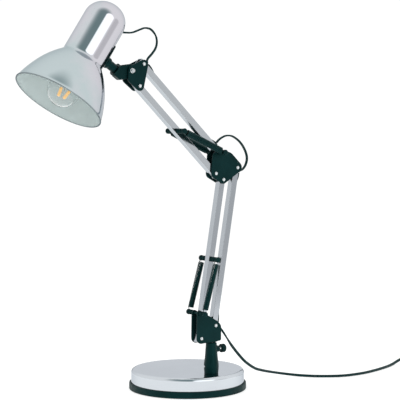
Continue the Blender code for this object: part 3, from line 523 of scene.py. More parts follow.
def twin_section(width=0.0047, height=0.0025, steps=20):
    """Two cores side by side in one sheath, with a shallow groove between them."""
    radius = height / 2
    apart = width / 2 - radius
    out = []
    for k in range(steps):
        turn = math.tau * (k + 0.5) / steps
        out.append((math.copysign(apart, math.cos(turn)) + radius * math.cos(turn),
                    radius * math.sin(turn)))
    groove = 0.80 * radius
    quarter = steps // 4
    out.insert(3 * quarter, (0.0, -groove))
    out.insert(quarter, (0.0, groove))
    return out


def transported(path, first):
    """Directions carried along a path without twist, as side functions need them."""
    path = [Vector(p) for p in path]
    last = len(path) - 1
    sides = []
    side = Vector(first)
    for index in range(last + 1):
        ahead = heading(path, index)
        side = (side - ahead * side.dot(ahead)).normalized()
        sides.append(side)
    return lambda share: sides[round(share * last)]


# ---------------------------------------------------------------- base and post


def build_base():
    shoulder = 0.0050
    top = [(0.0, BASE_HEIGHT)]
    for k in range(9):
        turn = math.radians(90 * k / 8)
        top.append((COVER_RADIUS - shoulder + shoulder * math.sin(turn),
                    BASE_HEIGHT - shoulder + shoulder * math.cos(turn)))
    inside = [(r - SHEET if r > SHEET else 0.0, z - (SHEET if r < COVER_RADIUS - 1e-5 else 0.0))
              for r, z in top]
    profile = top + [(COVER_RADIUS, 0.0040), (COVER_RADIUS - SHEET, 0.0040)] + inside[::-1]
    make("base_cover_shell", spin(profile, 128), "chrome_base", "base", ("base_cover",))
    inner, ledge, shelf = 0.0775, COVER_RADIUS + 0.0004, 0.0036
    ring = rounded([
        (inner, 0.0), (BASE_RADIUS, 0.0, 0.0012), (BASE_RADIUS, RING_HEIGHT, 0.0016),
        (ledge, RING_HEIGHT, 0.0004), (ledge, shelf), (inner, shelf),
    ])
    make("base_trim_ring", spin(ring, 128), "plastic", "base", ("base_ring",))


def build_post():
    at = Matrix.Translation((POST_X, POST_Y, 0.0))
    foot = BASE_HEIGHT + 0.0002
    rough = [(0.0103, foot), (0.0107, 0.0345), (0.0110, 0.0390), (0.0108, 0.0440), (0.0099, 0.0500),
             (0.0093, 0.0560), (0.0089, 0.0620), (0.0084, 0.0690), (0.0080, 0.0738)]
    outer = [tuple(p) for p in smooth_curve(rough, 4)]
    profile = [(0.0, foot)] + outer + [(0.0068, POST_TOP), (0.0045, POST_TOP), (0.0045, 0.0420),
                                       (0.0, 0.0420)]
    post = make("post_casting", spin(profile, 48), "enamel", "base", ("post_socket",), at)
    cutter_shape = bmesh.new()
    bmesh.ops.create_cone(
        cutter_shape, cap_ends=True, segments=24, radius1=0.0020, radius2=0.0020, depth=0.016,
        matrix=at @ Matrix.Rotation(NOTCH_TURN, 4, "Z") @ Matrix.Translation((0.0112, 0.0, 0.0388))
        @ Matrix.Rotation(math.pi / 2, 4, "X"),
    )
    cutter = placed("post_notch", mesh_from("post_notch", cutter_shape))
    notch = post.modifiers.new("notch", "BOOLEAN")
    notch.object = cutter
    notch.solver = "EXACT"
    bpy.context.view_layer.update()
    settle(post)
    bpy.data.objects.remove(cutter, do_unlink=True)
    axis = at @ Matrix.Translation((0, 0, CLAMP_HEIGHT)) @ ALONG_X
    boss = rounded([(0.0, 0.0055), (0.0050, 0.0055), (0.0048, 0.0125, 0.0008), (0.0, 0.0125)])
    make("clamp_boss", spin(boss, 32), "enamel", "base", (), axis)
    collar = rounded([(0.0041, POST_TOP + 0.0001), (0.0066, POST_TOP + 0.0001, 0.0003),
                      (0.0066, POST_TOP + 0.0009, 0.0003), (0.0041, POST_TOP + 0.0009)])
    make("swivel_collar", spin(collar, 40), "enamel", "yoke", (), at)

    knob = bmesh.new()
    flutes = 18
    outline = []
    for k in range(flutes * 4):
        turn = math.tau * k / (flutes * 4)
        radius = 0.0063 - 0.0005 * (0.5 - 0.5 * math.cos(turn * flutes))
        outline.append((radius * math.cos(turn), radius * math.sin(turn)))
    levels = [(0.0168, 0.88), (0.0174, 1.0), (0.0232, 1.0), (0.0239, 0.9), (0.0240, 0.55),
              (0.0236, 0.5)]
    rings = [[knob.verts.new((x * scale, y * scale, z)) for x, y in outline] for z, scale in levels]
    loft(knob, rings)
    make("clamp_knob", knob, "plastic", "clamp", ("clamp_screw",), axis, angle=50.0)
    shank = [(0.0, 0.0047), (0.0016, 0.0047)]
    for k in range(14):
        z = 0.0052 + 0.0008 * k
        shank += [(0.0019, z), (0.0016, z + 0.0004)]
    shank += [(0.0019, 0.0167), (0.0, 0.0167)]
    make("clamp_thread", spin(shank, 20), "steel", "clamp", (), axis)


def settle(piece):
    """Replace a piece's mesh with what its modifiers make of it."""
    graph = bpy.context.evaluated_depsgraph_get()
    made = bpy.data.meshes.new_from_object(piece.evaluated_get(graph))
    piece.modifiers.clear()
    old = piece.data
    piece.data = made
    made.name = old.name
    return piece


# ---------------------------------------------------------------- linkage


def bar(body, length, at, look):
    """A square chromed tube with soft corners, open at both ends."""
    half = TUBE / 2
    inner = half - TUBE_WALL
    shape = bmesh.new()
    low = -TUBE_PAST_PIVOT
    high = length + TUBE_PAST_PIVOT
    square = [(-1, -1), (1, -1), (1, 1), (-1, 1)]
    rings = []
    for size, z in ((half, low), (half, high), (inner, high), (inner, low)):
        rings.append([shape.verts.new((size * x, size * y, z)) for x, y in square])
    loft(shape, rings + rings[:1], caps=0)
    piece = make(f"{body}_tube", shape, look, body, (f"{body}_bar",), at)
    piece.modifiers.clear()
    corner = piece.modifiers.new("corner", "BEVEL")
    corner.width = 0.0007
    corner.segments = 3
    corner.limit_method = "ANGLE"
    corner.harden_normals = True


def cheeks(joint, circles, body):
    """The two stamped plates of a joint, with softened edges."""
    sides = (("near", -PLATE_OUTER, -PLATE_INNER), ("far", PLATE_INNER, PLATE_OUTER))
    for side, low, high in sides:
        make(f"{joint}_cheek_{side}", extrude(hull(circles), low, high), "enamel", body,
             (f"{joint}_plate_{side}",), arm((0, 0)), bevel=0.0006, segments=3, angle=40.0)


def rivet(joint, place, spot, body):
    """A domed rivet with a flat washer lip, right through both plates."""
    reach = PLATE_OUTER + 0.0001
    dome = [(0.0, reach + 0.0017)]
    for k in range(1, 7):
        turn = math.radians(90 * k / 6)
        dome.append((0.0020 * math.sin(turn), reach + 0.0004 + 0.0013 * math.cos(turn)))
    half = dome + [(0.0024, reach + 0.0003), (0.0024, reach), (0.0018, reach)]
    profile = half + [(r, -z) for r, z in reversed(half)]
    make(f"{joint}_rivet_{place}", spin(profile, 28), "steel", body, (f"rivet_{joint}_{place}",),
         across(spot))


def spring_pin(name, spot, body, node, clear):
    """A cross pin with ribbed sleeves, grooved for the springs' hooks."""
    half = [(0.0, PIN_HALF), (0.0032, PIN_HALF), (0.0040, PIN_HALF - 0.0008)]
    half += [(0.0041, SPRING_Y + 0.0018), (0.0026, SPRING_Y + 0.0012), (0.0026, SPRING_Y - 0.0012),
             (0.0037, SPRING_Y - 0.0018)]
    ribs = 3
    span = (SPRING_Y - 0.0018 - clear) / ribs
    for k in range(ribs):
        top = SPRING_Y - 0.0018 - span * k
        half += [(0.0037, top - span * 0.15), (0.0029, top - span * 0.30),
                 (0.0029, top - span * 0.70), (0.0037, top - span * 0.85)]
    half += [(0.0037, clear), (0.0020, clear)]
    profile = half + [(r, -z) for r, z in reversed(half)]
    make(name, spin(profile, 28), "plastic", body, (node,), across(spot))


def spring(name, start, end, y, pivot, node):
    """A close-wound tension spring with a hook round each pin, made in separate lengths.

    Each length is baked into world space and rides on no body. The share of the pin line it spans
    is worked out but not used.
    """
    a = Vector((start[0], POST_Y + y, start[1]))
    b = Vector((end[0], POST_Y + y, end[1]))
    ahead = (b - a).normalized()
    long = (b - a).length
    cross_way = Vector((0, 1, 0))
    out = ahead.cross(cross_way)
    coil_radius = UPPER_COIL_RADIUS if name.startswith("upper") else LOWER_COIL_RADIUS
    path = []
    for k in range(13):
        turn = math.radians(-150 + 240 * k / 12)
        path.append(a + (ahead * -math.cos(turn) + out * math.sin(turn)) * HOOK_RADIUS)
    path.append(a + ahead * 0.0040 + out * 0.0026)
    body_low, body_high = HOOK_REACH, long - HOOK_REACH
    turns = int((body_high - body_low) / SPRING_PITCH)
    per_turn = 12
    for k in range(turns * per_turn + 1):
        turn = math.tau * k / per_turn
        along = body_low + (body_high - body_low) * k / (turns * per_turn)
        round_it = out * math.cos(turn) + cross_way * math.sin(turn)
        path.append(a + ahead * along + round_it * coil_radius)
    path.append(b - ahead * 0.0040 + out * 0.0026)
    for k in range(13):
        turn = math.radians(90 - 240 * k / 12)
        path.append(b + (ahead * math.cos(turn) + out * math.sin(turn)) * HOOK_RADIUS)
    sides = transported(path, cross_way)
    count = len(path) - 1
    cuts = [round(count * k / SPRING_LENGTHS) for k in range(SPRING_LENGTHS + 1)]
    pivot = Vector(pivot)
    for k in range(SPRING_LENGTHS):
        first, last = cuts[k], cuts[k + 1]
        piece_path = path[first:last + 1]
        shape = bmesh.new()
        rings = []
        for index in range(first, last + 1):
            side = sides(index / count)
            high = heading(path, index).cross(side)
            rings.append([shape.verts.new(path[index] + side * u + high * v)
                          for u, v in round_section(SPRING_WIRE, 6)])
        loft(shape, rings)
        piece = make(f"{name}_{k + 1}", shape, "spring_black", None, (), angle=80.0)
        share = [max(0.0, min(1.0, (p - a).dot(ahead) / long))
                 for p in (piece_path[0], piece_path[-1])]
        share[0] = 0.0 if k == 0 else share[0]
        share[1] = 1.0 if k == SPRING_LENGTHS - 1 else share[1]
        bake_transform(piece)
        if k == 0:
            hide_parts(node)


def springs(level, start, end, pivot):
    for side, y in (("near", -SPRING_Y), ("far", SPRING_Y)):
        spring(f"{level}_balance_{side}", start, end, y, pivot, f"{level}_spring_{side}")


def hood(level, place, at, tip, mouth):
    """The moulded hood over a cord slot: a low ramp at its tip, open and rounded at its mouth."""
    skin = TUBE / 2 + 0.0002
    way = 1.0 if mouth > tip else -1.0
    crest = skin + 0.0031
    outline = rounded([
        (skin, tip), (skin + 0.0009, tip, 0.0004), (crest, mouth - way * 0.0060, 0.0050),
        (crest, mouth, 0.0006), (skin, mouth),
    ], steps=5)
    make(f"cord_hood_{level}_{place}", extrude(outline, -0.0031, 0.0031), "plastic",
         f"{level}_rear", (f"hood_{level}_{place}",), at, bevel=0.0007, segments=3, angle=50.0)


def build_yoke():
    circles = [
        (YOKE_PIN.x, YOKE_PIN.y - 0.0006, 0.0046),
        (YOKE_REAR.x, YOKE_REAR.y, 0.0070), (0.0134, 0.0975, 0.0047), (0.0153, 0.0795, 0.0028),
        (YOKE_FRONT.x, YOKE_FRONT.y + 0.0004, 0.0081), (-0.0100, 0.0793, 0.0026),
    ]
    cheeks("yoke", circles, "yoke")
    rivet("yoke", "front", YOKE_FRONT, "yoke")
    rivet("yoke", "rear", YOKE_REAR, "yoke")
    spring_pin("yoke_cross_pin", YOKE_PIN, "yoke", "yoke_spring_pin", PLATE_OUTER + GAP)
    at = Matrix.Translation((POST_X, POST_Y, 0.0))
    make("swivel_hub", box((-0.0080, -0.0050, POST_TOP + 0.0010), (0.0085, 0.0050, 0.0900)),
         "enamel", "yoke", ("swivel_block",), at, bevel=0.0012)
    spindle = rounded([(0.0, 0.0425), (0.0040, 0.0425, 0.0005), (0.0040, 0.0760), (0.0, 0.0760)])
    make("swivel_spindle", spin(spindle, 32), "steel", "yoke", (), at)


def build_lower_arm():
    front = arm(YOKE_FRONT, LOWER_LEAN)
    rear = arm(YOKE_REAR, LOWER_LEAN)
    # Both lower bars take the darker chrome copy, which is painted shade.
    bar("lower_front", LOWER_LENGTH, front, "chrome_painted_shade")
    bar("lower_rear", LOWER_LENGTH, rear, "chrome_painted_shade")
    spring_pin("lower_cross_pin", LOWER_PIN, "lower_front", "lower_arm_pin", TUBE / 2 + GAP)
    hood("lower", "foot", rear, 0.0210, 0.0042)
    hood("lower", "top", rear, LOWER_LENGTH - 0.0205, LOWER_LENGTH - 0.0068)
    springs("lower", YOKE_PIN, LOWER_PIN, YOKE_FRONT)


def build_elbow():
    circles = [
        (UPPER_FRONT.x, UPPER_FRONT.y, 0.0080), (0.0095, 0.3465, 0.0068),
        (UPPER_REAR.x, UPPER_REAR.y - 0.0005, 0.0058), (0.0290, 0.3385, 0.0150),
        (ELBOW_REAR.x, ELBOW_REAR.y + 0.0006, 0.0076),
        (ELBOW_FRONT.x - 0.0002, ELBOW_FRONT.y, 0.0062),
    ]
    cheeks("elbow", circles, "elbow")
    rivet("elbow", "upper", UPPER_FRONT, "elbow")
    rivet("elbow", "front", ELBOW_FRONT, "elbow")
    rivet("elbow", "rear", ELBOW_REAR, "elbow")
    spring_pin("elbow_cross_pin", UPPER_REAR, "elbow", "elbow_spring_pin", PLATE_OUTER + GAP)


def build_upper_arm():
    front = arm(UPPER_FRONT, UPPER_LEAN)
    rear = arm(UPPER_REAR, UPPER_LEAN)
    bar("upper_front", UPPER_LENGTH, front, "chrome_bar")
    bar("upper_rear", UPPER_LENGTH, rear, "chrome_bar")
    spring_pin("upper_cross_pin", UPPER_PIN, "upper_front", "upper_arm_pin", TUBE / 2 + GAP)
    hood("upper", "foot", rear, 0.0215, 0.0085)
    hood("upper", "top", rear, UPPER_LENGTH - 0.0215, UPPER_LENGTH - 0.0080)
    springs("upper", UPPER_REAR, UPPER_PIN, UPPER_FRONT)


def build_head_bracket():
    circles = [
        (HEAD_REAR.x, HEAD_REAR.y - 0.0010, 0.0070), (TILT.x + 0.0010, TILT.y + 0.0005, 0.0070),
        (-0.1372, 0.4565, 0.0062), (HEAD_FRONT.x, HEAD_FRONT.y, 0.0069),
    ]
    cheeks("head", circles, "head_bracket")
    rivet("head", "front", HEAD_FRONT, "head_bracket")
    rivet("head", "rear", HEAD_REAR, "head_bracket")

    reach = PLATE_OUTER + 0.0001
    hexagon = [(0.0029 * math.cos(math.radians(60 * k + 12)),
                0.0029 * math.sin(math.radians(60 * k + 12))) for k in range(6)]
    head = pushed([(x, y, reach + 0.0008) for x, y in hexagon], (0, 0, 0.0030))
    make("tilt_bolt_head", head, "steel", "head_bracket", (), across(TILT), bevel=0.0005,
         angle=25.0)
    shank = rounded([
        (0.0, -0.0212), (0.0024, -0.0212, 0.0004), (0.0025, reach), (0.0035, reach),
        (0.0035, reach + 0.0009, 0.0003), (0.0, reach + 0.0009),
    ])
    make("tilt_bolt_shank", spin(shank, 32), "steel", "head_bracket", ("tilt_bolt",), across(TILT))


def build_knuckle():
    frame_here = arm(TILT, SHADE_LEAN)
    up = Vector((math.sin(SHADE_LEAN), math.cos(SHADE_LEAN)))
    out = Vector((math.cos(SHADE_LEAN), -math.sin(SHADE_LEAN)))
    rel = TILT - SHADE_ORIGIN
    drop, back = rel.dot(up), rel.dot(out)
    circles = [
        (0.0, 0.0, 0.0095), (KNUCKLE_FACE - back + 0.0030, -drop + 0.0065, 0.0030),
        (KNUCKLE_FACE - back + 0.0030, -drop - 0.0060, 0.0030),
        (KNUCKLE_FACE - back + 0.0100, -drop - 0.0062, 0.0028),
    ]
    make("tilt_eye", extrude(hull(circles), -0.0049, 0.0049), "enamel", "knuckle",
         ("tilt_knuckle",), frame_here, bevel=0.0009, angle=40.0)

    nut = rounded([
        (0.0028, 0.0080), (0.0056, 0.0080, 0.0004), (0.0050, 0.0150, 0.0010), (0.0028, 0.0150),
    ])
    wing_at = arm(TILT) @ Matrix.Rotation(math.radians(-90), 4, "X")
    make("wing_nut_hub", spin(nut, 32), "enamel", "tilt_nut", ("wing_nut",), wing_at)
    lobe = rounded([
        (0.0036, 0.0088), (0.0092, 0.0094, 0.0020), (0.0130, 0.0130, 0.0030),
        (0.0122, 0.0182, 0.0030), (0.0096, 0.0182, 0.0024), (0.0036, 0.0138, 0.0010),
    ])
    for number, turn in ((1, 32.0), (2, 212.0)):
        make(f"wing_nut_wing_{number}", extrude(lobe, -0.0011, 0.0011), "enamel", "tilt_nut", (),
             wing_at @ Matrix.Rotation(math.radians(turn), 4, "Z"), bevel=0.0006)


# ---------------------------------------------------------------- head


def shade_outline():
    curve = [tuple(p) for p in smooth_curve([(r, h) for h, r in BOWL_CURVE], 5)]
    dome_foot = SHADE_LENGTH - DOME_DEPTH
    steps = 18
    for k in range(steps + 1):
        turn = math.radians(90 * k / steps)
        curve.append((NECK_RADIUS * math.cos(turn) ** 0.95,
                      dome_foot + DOME_DEPTH * math.sin(turn)))
    curve[-1] = (0.0, SHADE_LENGTH)
    return curve


def offset_inwards(outline, distance):
    """The outline moved inwards by a distance, staying on the axis at its last point."""
    out = []
    points = [Vector(p) for p in outline]
    for index, point in enumerate(points):
        way = heading(points, index)
        inward = Vector((-way.y, way.x))
        moved = point + inward * distance
        out.append((max(0.0, moved.x), moved.y))
    out[-1] = (0.0, outline[-1][1] - distance)
    return out


def build_shade():
    outer = shade_outline()
    inner = offset_inwards(outer, SHADE_SHEET)
    outer = [(r, h - RIM_BELOW) for r, h in outer]
    inner = [(r, h - RIM_BELOW) for r, h in inner]
    rim_r = outer[0][0]
    rim_z = outer[0][1]
    outer = [p for p in outer if p[1] > rim_z + 0.0020]
    inner = [p for p in inner if p[1] > rim_z + 0.0022]
    lip = []
    for k in range(9):
        turn = math.radians(20 - 220 * k / 8)
        lip.append((rim_r - 0.0007 + 0.0010 * math.cos(turn),
                    rim_z + 0.0010 + 0.0010 * math.sin(turn)))
    profile = outer[::-1] + lip + inner
    # The lip faces take the dark rim chrome, a painted reflection. The faces inside the shade take
    # its paint.
    bands = ((len(outer), 2), (len(outer) + len(lip) - 2, 1))
    make("shade_shell", spin(profile, 128, bands), "chrome_shade", "head", ("shade",), SHADE_FRAME,
         others=("shade_inside", "rim"))

    grip = rounded([
        (0.0, 0.0284), (0.0042, 0.0286), (0.0042, 0.0302, 0.0006), (0.0038, 0.0312, 0.0008),
        (0.0029, 0.0318, 0.0004), (0.0, 0.0318),
    ])
    grip_at = SHADE_FRAME @ Matrix.Translation((0, 0, CORD_HOLE_UP)) @ ALONG_X
    make("cord_grommet", spin(grip, 32), "plastic", "head", ("neck_grommet",), grip_at)

    inside = NECK_RADIUS + 0.0002
    outside = inside + 0.0013
    half = math.radians(38)
    low, high = -0.0117, 0.0195
    shape = bmesh.new()
    columns, rows = 25, 2
    grid = {}
    for layer, radius in enumerate((inside, outside)):
        for i in range(columns):
            turn = half * (2 * i / (columns - 1) - 1)
            for j in range(rows):
                z = low + (high - low) * j / (rows - 1)
                grid[layer, i, j] = shape.verts.new(
                    (radius * math.cos(turn), radius * math.sin(turn), z)
                )
    for i in range(columns - 1):
        for layer in (0, 1):
            shape.faces.new([grid[layer, i, 0], grid[layer, i + 1, 0], grid[layer, i + 1, 1],
                             grid[layer, i, 1]])
        for j in (0, 1):
            shape.faces.new([grid[0, i, j], grid[0, i + 1, j], grid[1, i + 1, j], grid[1, i, j]])
    for i in (0, columns - 1):
        shape.faces.new([grid[0, i, 0], grid[0, i, 1], grid[1, i, 1], grid[1, i, 0]])
    make("shade_saddle", shape, "enamel", "head", ("saddle",), SHADE_FRAME, bevel=0.0006,
         angle=40.0)
    stem = rounded([
        (0.0, 0.0250), (0.0052, 0.0250), (0.0052, 0.0282), (0.0030, 0.0282), (0.0030, 0.0318),
        (0.0080, 0.0318), (0.0080, 0.0368, 0.0012), (0.0064, 0.0384, 0.0012),
        (0.0062, 0.0492, 0.0004), (0.0030, 0.0496), (0.0030, 0.0640), (0.0, 0.0640),
    ])
    make("swivel_stem", spin(stem, 40), "enamel", "head", ("stem",), STEM_FRAME)
    washer = rounded([(0.0033, 0.0500), (0.0094, 0.0500, 0.0004), (0.0094, 0.0521, 0.0004),
                      (0.0033, 0.0521)])
    make("stem_washer", spin(washer, 48), "enamel", "head", ("swivel_washer",), STEM_FRAME)
    build_bulb()


def build_bulb():
    """A clear golf-ball bulb: thin glass, a white ceramic stem with two glowing filaments, a screw
    cap.
    """
    rim = -RIM_BELOW
    middle = rim + BULB_UP

    def envelope(radius, neck, top):
        line = [(0.0, middle - radius)]
        for k in range(1, 33):
            turn = math.radians(148 * k / 32)
            line.append((radius * math.sin(turn), middle - radius * math.cos(turn)))
        line.append((neck, top))
        return line

    outer = envelope(BULB_RADIUS, 0.0108, rim + 0.0440)
    inner = envelope(BULB_RADIUS - 0.0006, 0.0102, rim + 0.0440)
    make("bulb_envelope", spin(outer + inner[::-1], 64), "glass", "head", ("bulb_glass",),
         SHADE_FRAME)
    cap = [(0.0112, rim + 0.0436), (0.0122, rim + 0.0452), (0.0122, rim + 0.0480)]
    for k in range(28):
        z = rim + 0.0485 + 0.0006 * k
        cap.append((0.0125 + 0.0005 * math.sin(math.tau * k / 6), z))
    cap += [(0.0122, rim + 0.0662), (0.0062, rim + 0.0700), (0.0040, rim + 0.0732),
            (0.0, rim + 0.0735), (0.0, rim + 0.0445), (0.0112, rim + 0.0440)]
    make("bulb_screw_cap", spin(cap, 40), "nickel", "head", ("bulb_cap",), SHADE_FRAME)
    stem = rounded([
        (0.0, middle + 0.0020), (0.0014, middle + 0.0022, 0.0008), (0.0016, middle + 0.0090, 0.002),
        (0.0040, middle + 0.0200, 0.003), (0.0085, middle + 0.0262), (0.0, middle + 0.0262),
    ])
    make("bulb_stem", spin(stem, 28), "ceramic", "head", (), SHADE_FRAME)
    turned = SHADE_FRAME @ Matrix.Rotation(FILAMENT_TURN, 4, "Z")
    for number, x in ((1, -0.0052), (2, 0.0052)):
        strip = rounded([
            (0.0, -0.0070), (0.0021, -0.0062, 0.0012), (0.0021, 0.0062, 0.0012), (0.0, 0.0070),
        ])
        lean = math.radians(9.0 if x > 0 else -9.0)
        at = (turned @ Matrix.Translation((x + 0.0012, 0.0, middle - 0.0040))
              @ Matrix.Rotation(lean, 4, "Y"))
        make(f"filament_{number}", spin(strip, 12), "filament", "head", (), at)
        for end, z in (("top", middle + 0.0076), ("foot", middle - 0.0094)):
            lead = [(x * (1.0 if end == "top" else 0.85), 0.0, z),
                    (x * 0.5, 0.0, z + (0.0035 if end == "top" else -0.0014)),
                    (0.0, 0.0, middle + (0.0140 if end == "top" else 0.0022))]
            path = [turned @ p for p in smooth_curve(lead, 6)]
            make(f"filament_lead_{end}_{number}", sweep(path, round_section(0.00022, 6),
                                                        transported(path, (0, 1, 0))),
                 "nickel", "head", ())


# ---------------------------------------------------------------- flex

HEAD_LOOP = [
    (-0.1440, 0.5203), (-0.1392, 0.5203), (-0.1351, 0.5204), (-0.1304, 0.5212), (-0.1257, 0.5228),
    (-0.1172, 0.5260), (-0.1103, 0.5280), (-0.1017, 0.5270), (-0.0956, 0.5226), (-0.0914, 0.5164),
    (-0.0901, 0.5086), (-0.0923, 0.5005), (-0.0984, 0.4925), (-0.1052, 0.4858), (-0.1068, 0.4820),
    (-0.1060, 0.4789),
]
ELBOW_LOOP = [
    (0.0151, 0.3671), (0.0190, 0.3708), (0.0260, 0.3748), (0.0339, 0.3770), (0.0450, 0.3755),
    (0.0580, 0.3673), (0.0674, 0.3553), (0.0712, 0.3434), (0.0684, 0.3331), (0.0625, 0.3268),
    (0.0578, 0.3252), (0.0551, 0.3232),
]
FLOOR_CORD_Z = 0.0022
MAINS_ROUTE = [
    (0.0163, -0.0519, 0.1012), (0.0180, -0.0519, 0.0978), (0.0222, -0.0516, 0.0938),
    (0.0305, -0.0495, 0.0853),
    (0.0485, -0.0446, 0.0650), (0.0665, -0.0400, 0.0478), (0.0820, -0.0365, 0.0350),
    (0.1030, -0.0310, 0.0230), (0.1210, -0.0255, 0.0170), (0.1410, -0.0215, 0.0118),
    (0.1710, -0.0225, 0.0054), (0.1930, -0.0330, FLOOR_CORD_Z), (0.2130, -0.0560, FLOOR_CORD_Z),
    (0.2440, -0.0738, FLOOR_CORD_Z), (0.2780, -0.0766, FLOOR_CORD_Z),
    (0.3086, -0.0717, FLOOR_CORD_Z), (0.3458, -0.0603, FLOOR_CORD_Z),
    (0.3740, -0.0490, 0.0026), (0.3970, -0.0405, 0.0056),
]
SWITCH_CENTRE = Vector((0.4600, -0.0400))
SWITCH_HEADING = math.radians(-8.0)
SWITCH_HALF = 0.0310
SWITCH_LEAD_Z = 0.0085
COIL_CENTRE = Vector((0.5165, -0.0850))
COIL_OUTER = 0.0338
COIL_INNER = 0.0178
HEAD_LOOP_CUTS = (0.0, 0.33, 0.86, 1.0)
ELBOW_LOOP_CUTS = (0.0, 0.5, 1.0)
PLUG_CENTRE = Vector((0.4810, -0.1335))
PLUG_HEADING = math.radians(187.0)


def flex_piece(name, path, side, bodies, stands_for=()):
    """A length of twin flex, riding on one body, or baked into world space when it spans two."""
    shape = sweep(path, twin_section(), side)
    piece = make(name, shape, "flex", None if bodies[1] else bodies[0], stands_for, angle=70.0)
    if bodies[1]:
        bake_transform(piece)
    return piece


def turning(first, second, low, high):
    """A side direction that turns from one way to another between two shares of the length."""
    first, second = Vector(first).normalized(), Vector(second).normalized()

    def side(share):
        t = max(0.0, min(1.0, (share - low) / (high - low)))
        return first.slerp(second, t * t * (3 - 2 * t))

    return side


def loop_path(points, spacing=0.0016):
    places = [Vector((x, POST_Y, z)) for x, z in points]
    return evenly(smooth_curve(places, 12), spacing)


def cut_line(path, shares):
    count = len(path) - 1
    marks = [round(count * share) for share in shares]
    return [path[a:b + 1] for a, b in zip(marks, marks[1:])], [m / count for m in marks]


def build_loop(joint, path, cuts, links, side):
    """A free loop of flex, cut into stretches baked into world space; the first stands for the CAD
    loop.
    """
    parts, marks = cut_line(path, cuts)
    for number, (part, bodies) in enumerate(zip(parts, links)):
        low, high = marks[number], marks[number + 1]
        piece = flex_piece(
            f"{joint}_flex_{number + 1}", part,
            lambda share, a=low, b=high: side(a + (b - a) * share), bodies,
            (f"{joint}_cord_loop",) if number == 0 else (),
        )


def build_loops():
    up = Vector((0, 1, 0))
    tilted = Vector((0.75, 0.60, -0.25))
    path = [SHADE_FRAME @ Vector((0.0306, 0.0, CORD_HOLE_UP))] + loop_path(HEAD_LOOP)
    links = (("head", "knuckle"), ("knuckle", "head_bracket"), ("head_bracket", "upper_rear"))
    build_loop("head", path, HEAD_LOOP_CUTS, links, turning(up, tilted, 0.40, 0.62))
    links = (("upper_rear", "elbow"), ("elbow", "lower_rear"))
    build_loop("elbow", loop_path(ELBOW_LOOP), ELBOW_LOOP_CUTS, links, lambda share: up)


def flat_sides(path):
    """The level direction across a path, at each of its points."""
    flat = [Vector((-(b - a).y, (b - a).x, 0.0)).normalized() for a, b in zip(path, path[1:])]
    return flat + [flat[-1]]


def along_floor(centre, heading, forward, side, z):
    return Vector((
        centre.x + forward * math.cos(heading) - side * math.sin(heading),
        centre.y + forward * math.sin(heading) + side * math.cos(heading), z,
    ))


def coil_path():
    """Two flat layers of turns, spiralling in on the table and out again on top."""
    outer, inner = COIL_OUTER, COIL_INNER
    turns = 3.25
    per_turn = 24
    start = math.radians(98)
    out = []
    count = round(turns * per_turn)
    for k in range(count + 1):
        share = k / count
        turn = start - math.tau * turns * share
        out.append((turn, outer + (inner - outer) * share, 0.0017))
    middle = out[-1][0]
    rest = turns + (math.radians(98 + 50) / math.tau - 0.5) % 1.0
    count = round(rest * per_turn)
    for k in range(3, count + 1):
        share = k / count
        turn = middle - math.tau * rest * share
        out.append((turn, inner + (outer - inner) * share, 0.0049))
    return [Vector((COIL_CENTRE.x + r * math.cos(a), COIL_CENTRE.y + r * math.sin(a), z))
            for a, r, z in out]


def relief(name, path, side):
    """A tapered, ringed strain relief round the flex where it enters a housing."""
    count = len(path) - 1

    def grow(share):
        base = 1.95 - 0.75 * share
        ring = 0.10 if (round(share * count) // 2) % 2 else 0.0
        return base - ring

    shape = sweep(path, twin_section(0.0046, 0.0034), side, grow=grow)
    return make(name, shape, "plastic", "base", angle=40.0)


def build_mains():
    z = SWITCH_LEAD_Z
    switch_in = along_floor(SWITCH_CENTRE, SWITCH_HEADING, -SWITCH_HALF, 0.0, z)
    lead_in = along_floor(SWITCH_CENTRE, SWITCH_HEADING, -SWITCH_HALF - 0.011, 0.0, z - 0.0003)
    route = [Vector(p) for p in MAINS_ROUTE]
    path = evenly(smooth_curve(route + [lead_in, switch_in], 16), 0.0022)
    mark = next(i for i, p in enumerate(path) if p.x > 0.0205)
    tail, lead = path[:mark + 1], path[mark:]
    across_arm = Vector((0, 1, 0))
    flex_piece("mains_tail", tail, lambda share: across_arm, ("lower_rear", "yoke"))

    flat = flat_sides(lead)
    count = len(lead) - 1
    upright = Vector((0.0, 0.0, 1.0))
    twist = turning(across_arm, Vector((0.2, 0.1, 1.0)), 0.01, 0.10)

    def side(share):
        lying = flat[round(share * count)] * 0.80 + upright * 0.60
        t = max(0.0, min(1.0, (share - 0.16) / 0.18))
        return twist(share) if share < 0.10 else Vector((0.2, 0.1, 1.0)).lerp(lying, t)

    mains = flex_piece("mains_flex", lead, side, ("yoke", "base"),
                       ("mains_cord",))
    parts = build_switch()

    switch_out = along_floor(SWITCH_CENTRE, SWITCH_HEADING, SWITCH_HALF, 0.0, z)
    lead_out = along_floor(SWITCH_CENTRE, SWITCH_HEADING, SWITCH_HALF + 0.009, 0.0, z - 0.0016)
    turns = coil_path()
    plug_back = along_floor(PLUG_CENTRE, PLUG_HEADING, -0.0190, 0.0, 0.0069)
    plug_lead = along_floor(PLUG_CENTRE, PLUG_HEADING, -0.0290, 0.0, 0.0064)
    head = smooth_curve([switch_out, lead_out] + turns[:4], 8)
    tail_end = smooth_curve(turns[-4:] + [plug_lead, plug_back], 8)
    path = evenly(head + turns[4:-4] + tail_end, 0.0024)
    flat = flat_sides(path)
    count = len(path) - 1
    coil = flex_piece("stored_flex", path, lambda share: flat[round(share * count)], ("base", None),
                      ("coil_lead", "cord_coil", "plug_lead"))
    plug = build_plug()
    tie = build_tie()


